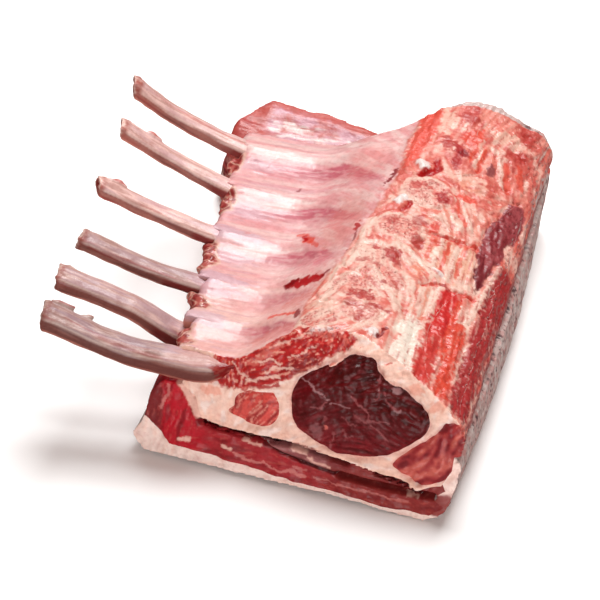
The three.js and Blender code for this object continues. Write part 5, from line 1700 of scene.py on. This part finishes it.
class RackColours(bpy.types.PropertyGroup):
    """Colours that a user would change."""

    floor: FloatVectorProperty(name="Floor", description="Colour of the surface it lies on",
                               default=(0.93, 0.93, 0.93), size=3, subtype="COLOR")
    light: FloatVectorProperty(name="Light", description="Colour of the studio lights",
                               default=(0.98, 1.0, 1.0), size=3, subtype="COLOR")
    surround: FloatVectorProperty(name="Surround tint", description="Colour of the light from all round",
                                  default=(1.0, 0.72, 0.62), size=3, subtype="COLOR")


class RACK_OT_block(bpy.types.Operator):
    """Shape the whole rack without its bones, and part the loin from the fat cap"""

    bl_idname = "rack.block"
    bl_label = "Block of meat"

    def execute(self, context):
        cap = build_block(context.scene.rack_sizes)
        cap.name = "cap_block"
        loin = copy_of(cap, "loin_block")
        region = region_above_seam()
        boolean(loin, region, "INTERSECT")
        boolean(cap, region, "DIFFERENCE")
        remove(region)
        return {"FINISHED"}


class RACK_OT_vertebrae(bpy.types.Operator):
    """Cut the six sawn half vertebrae out of the sawn face"""

    bl_idname = "rack.vertebrae"
    bl_label = "Sawn vertebrae"

    def execute(self, context):
        for k, y in enumerate(VERTEBRA_Y):
            cut_lump(f"vertebra_{k + 1}", VERTEBRA["radii"], (vertebra_x(y), y), VERTEBRA["sink"],
                     VERTEBRA["turn"], 100 + k)
        return {"FINISHED"}


class RACK_OT_face_muscles(bpy.types.Operator):
    """Cut the muscles that show on the sawn face"""

    bl_idname = "rack.face_muscles"
    bl_label = "Muscles of the sawn face"

    def execute(self, context):
        for k, (name, spec) in enumerate(FACE_PIECES.items()):
            cut_lump(name, spec["radii"], spec["at"], spec["sink"], -spec["turn"], 110 + k)
        return {"FINISHED"}


class RACK_OT_loin(bpy.types.Operator):
    """Cut the sheet over the ribs and the muscles that run through the loin; the rest is seam fat"""

    bl_idname = "rack.loin"
    bl_label = "Rib sheet and loin"

    def execute(self, context):
        loin = bpy.data.objects["loin_block"]
        for k, name in enumerate(("rib_sheet", "small_muscle", "eye_muscle", "back_muscle")):
            cut_piece(loin, prism(name, 120 + k), name)
        finish_rest(loin, "seam_fat")
        return {"FINISHED"}


class RACK_OT_cap(bpy.types.Operator):
    """Cut the two muscles of the cap; the rest is its fat"""

    bl_idname = "rack.cap"
    bl_label = "Fat cap"

    def execute(self, context):
        cap = bpy.data.objects["cap_block"]
        for k, name in enumerate(CAP_LEAN):
            cut_piece(cap, prism(name, 130 + k), name)
        finish_rest(cap, "fat_cap")
        return {"FINISHED"}


class RACK_OT_ribs(bpy.types.Operator):
    """Model the six bared ribs"""

    bl_idname = "rack.ribs"
    bl_label = "Ribs"

    def execute(self, context):
        for k in range(len(RIBS)):
            bone = build_rib(k, context.scene.rack_sizes)
            finish_piece(bone, f"rib_{k + 1}", *paint_rib(k, points_of(bone)[0]))
        return {"FINISHED"}


class RACK_OT_stage(bpy.types.Operator):
    """Set the floor, the lights and the camera"""

    bl_idname = "rack.stage"
    bl_label = "Stage"

    def execute(self, context):
        scene = context.scene
        sizes, colours = scene.rack_sizes, scene.rack_colours
        bpy.ops.object.select_all(action="DESELECT")
        bpy.ops.mesh.primitive_plane_add(size=FLOOR["size"], location=(0, 0, -FLOOR["drop"]))
        floor = context.object
        floor.name = "floor"
        material = bpy.data.materials.new("pale_floor")
        material.use_nodes = True
        shader = material.node_tree.nodes["Principled BSDF"]
        shader.inputs["Base Color"].default_value = (*colours.floor, 1)
        shader.inputs["Roughness"].default_value = FLOOR["roughness"]
        shader.inputs["Specular IOR Level"].default_value = FLOOR["specular"]
        floor.visible_glossy = False
        floor.data.materials.append(material)
        for name, at, aim, size, power in LIGHTS:
            bpy.ops.object.light_add(type="AREA", location=at)
            lamp = context.object
            lamp.name = f"{name}_light"
            lamp.data.size = size
            lamp.data.energy = getattr(sizes, power)
            lamp.data.color = colours.light
            turn_towards(lamp, np.array(at), np.array(aim))
        world = bpy.data.worlds.new("studio")
        world.use_nodes = True
        backdrop = world.node_tree.nodes["Background"]
        backdrop.inputs["Color"].default_value = (*colours.surround, 1)
        backdrop.inputs["Strength"].default_value = sizes.surround
        world.cycles_visibility.glossy = False
        scene.world = world
        scene.view_settings.view_transform = "Standard"
        azimuth, elevation = math.radians(CAMERA["azimuth"]), math.radians(CAMERA["elevation"])
        at = (np.array(CAMERA["at"]) + CUT_TO_FRAME) * MM
        bpy.ops.object.camera_add(location=at.tolist(), rotation=(math.pi / 2 - elevation, 0, azimuth))
        camera = context.object
        for key, value in LENS.items():
            setattr(camera.data, key, value)
        scene.camera = camera
        return {"FINISHED"}


def turn_towards(lamp, at, aim):
    """Turns a lamp to shine on a point."""
    away = at - aim
    flat = math.hypot(away[0], away[1])
    lamp.rotation_euler = (math.atan2(flat, away[2]), 0, math.atan2(away[0], -away[1]))


class RACK_PT_panel(bpy.types.Panel):
    """The rack's sizes, colours and steps"""

    bl_label = "Rack of lamb"
    bl_space_type = "VIEW_3D"
    bl_region_type = "UI"
    bl_category = "Rack"

    def draw(self, context):
        for group in (context.scene.rack_sizes, context.scene.rack_colours):
            for key in group.bl_rna.properties.keys():
                if key not in ("rna_type", "name"):
                    self.layout.prop(group, key)
        for step in STEPS:
            self.layout.operator(step.bl_idname)


STEPS = (RACK_OT_block, RACK_OT_vertebrae, RACK_OT_face_muscles, RACK_OT_loin, RACK_OT_cap, RACK_OT_ribs,
         RACK_OT_stage)
CLASSES = (RackSizes, RackColours, *STEPS, RACK_PT_panel)


def register():
    for item in CLASSES:
        bpy.utils.register_class(item)
    bpy.types.Scene.rack_sizes = PointerProperty(type=RackSizes)
    bpy.types.Scene.rack_colours = PointerProperty(type=RackColours)


def unregister():
    del bpy.types.Scene.rack_colours
    del bpy.types.Scene.rack_sizes
    for item in reversed(CLASSES):
        bpy.utils.unregister_class(item)


def main():
    register()
    for step in STEPS:
        group, name = step.bl_idname.split(".")
        getattr(getattr(bpy.ops, group), name)()


if __name__ == "__main__":
    main()
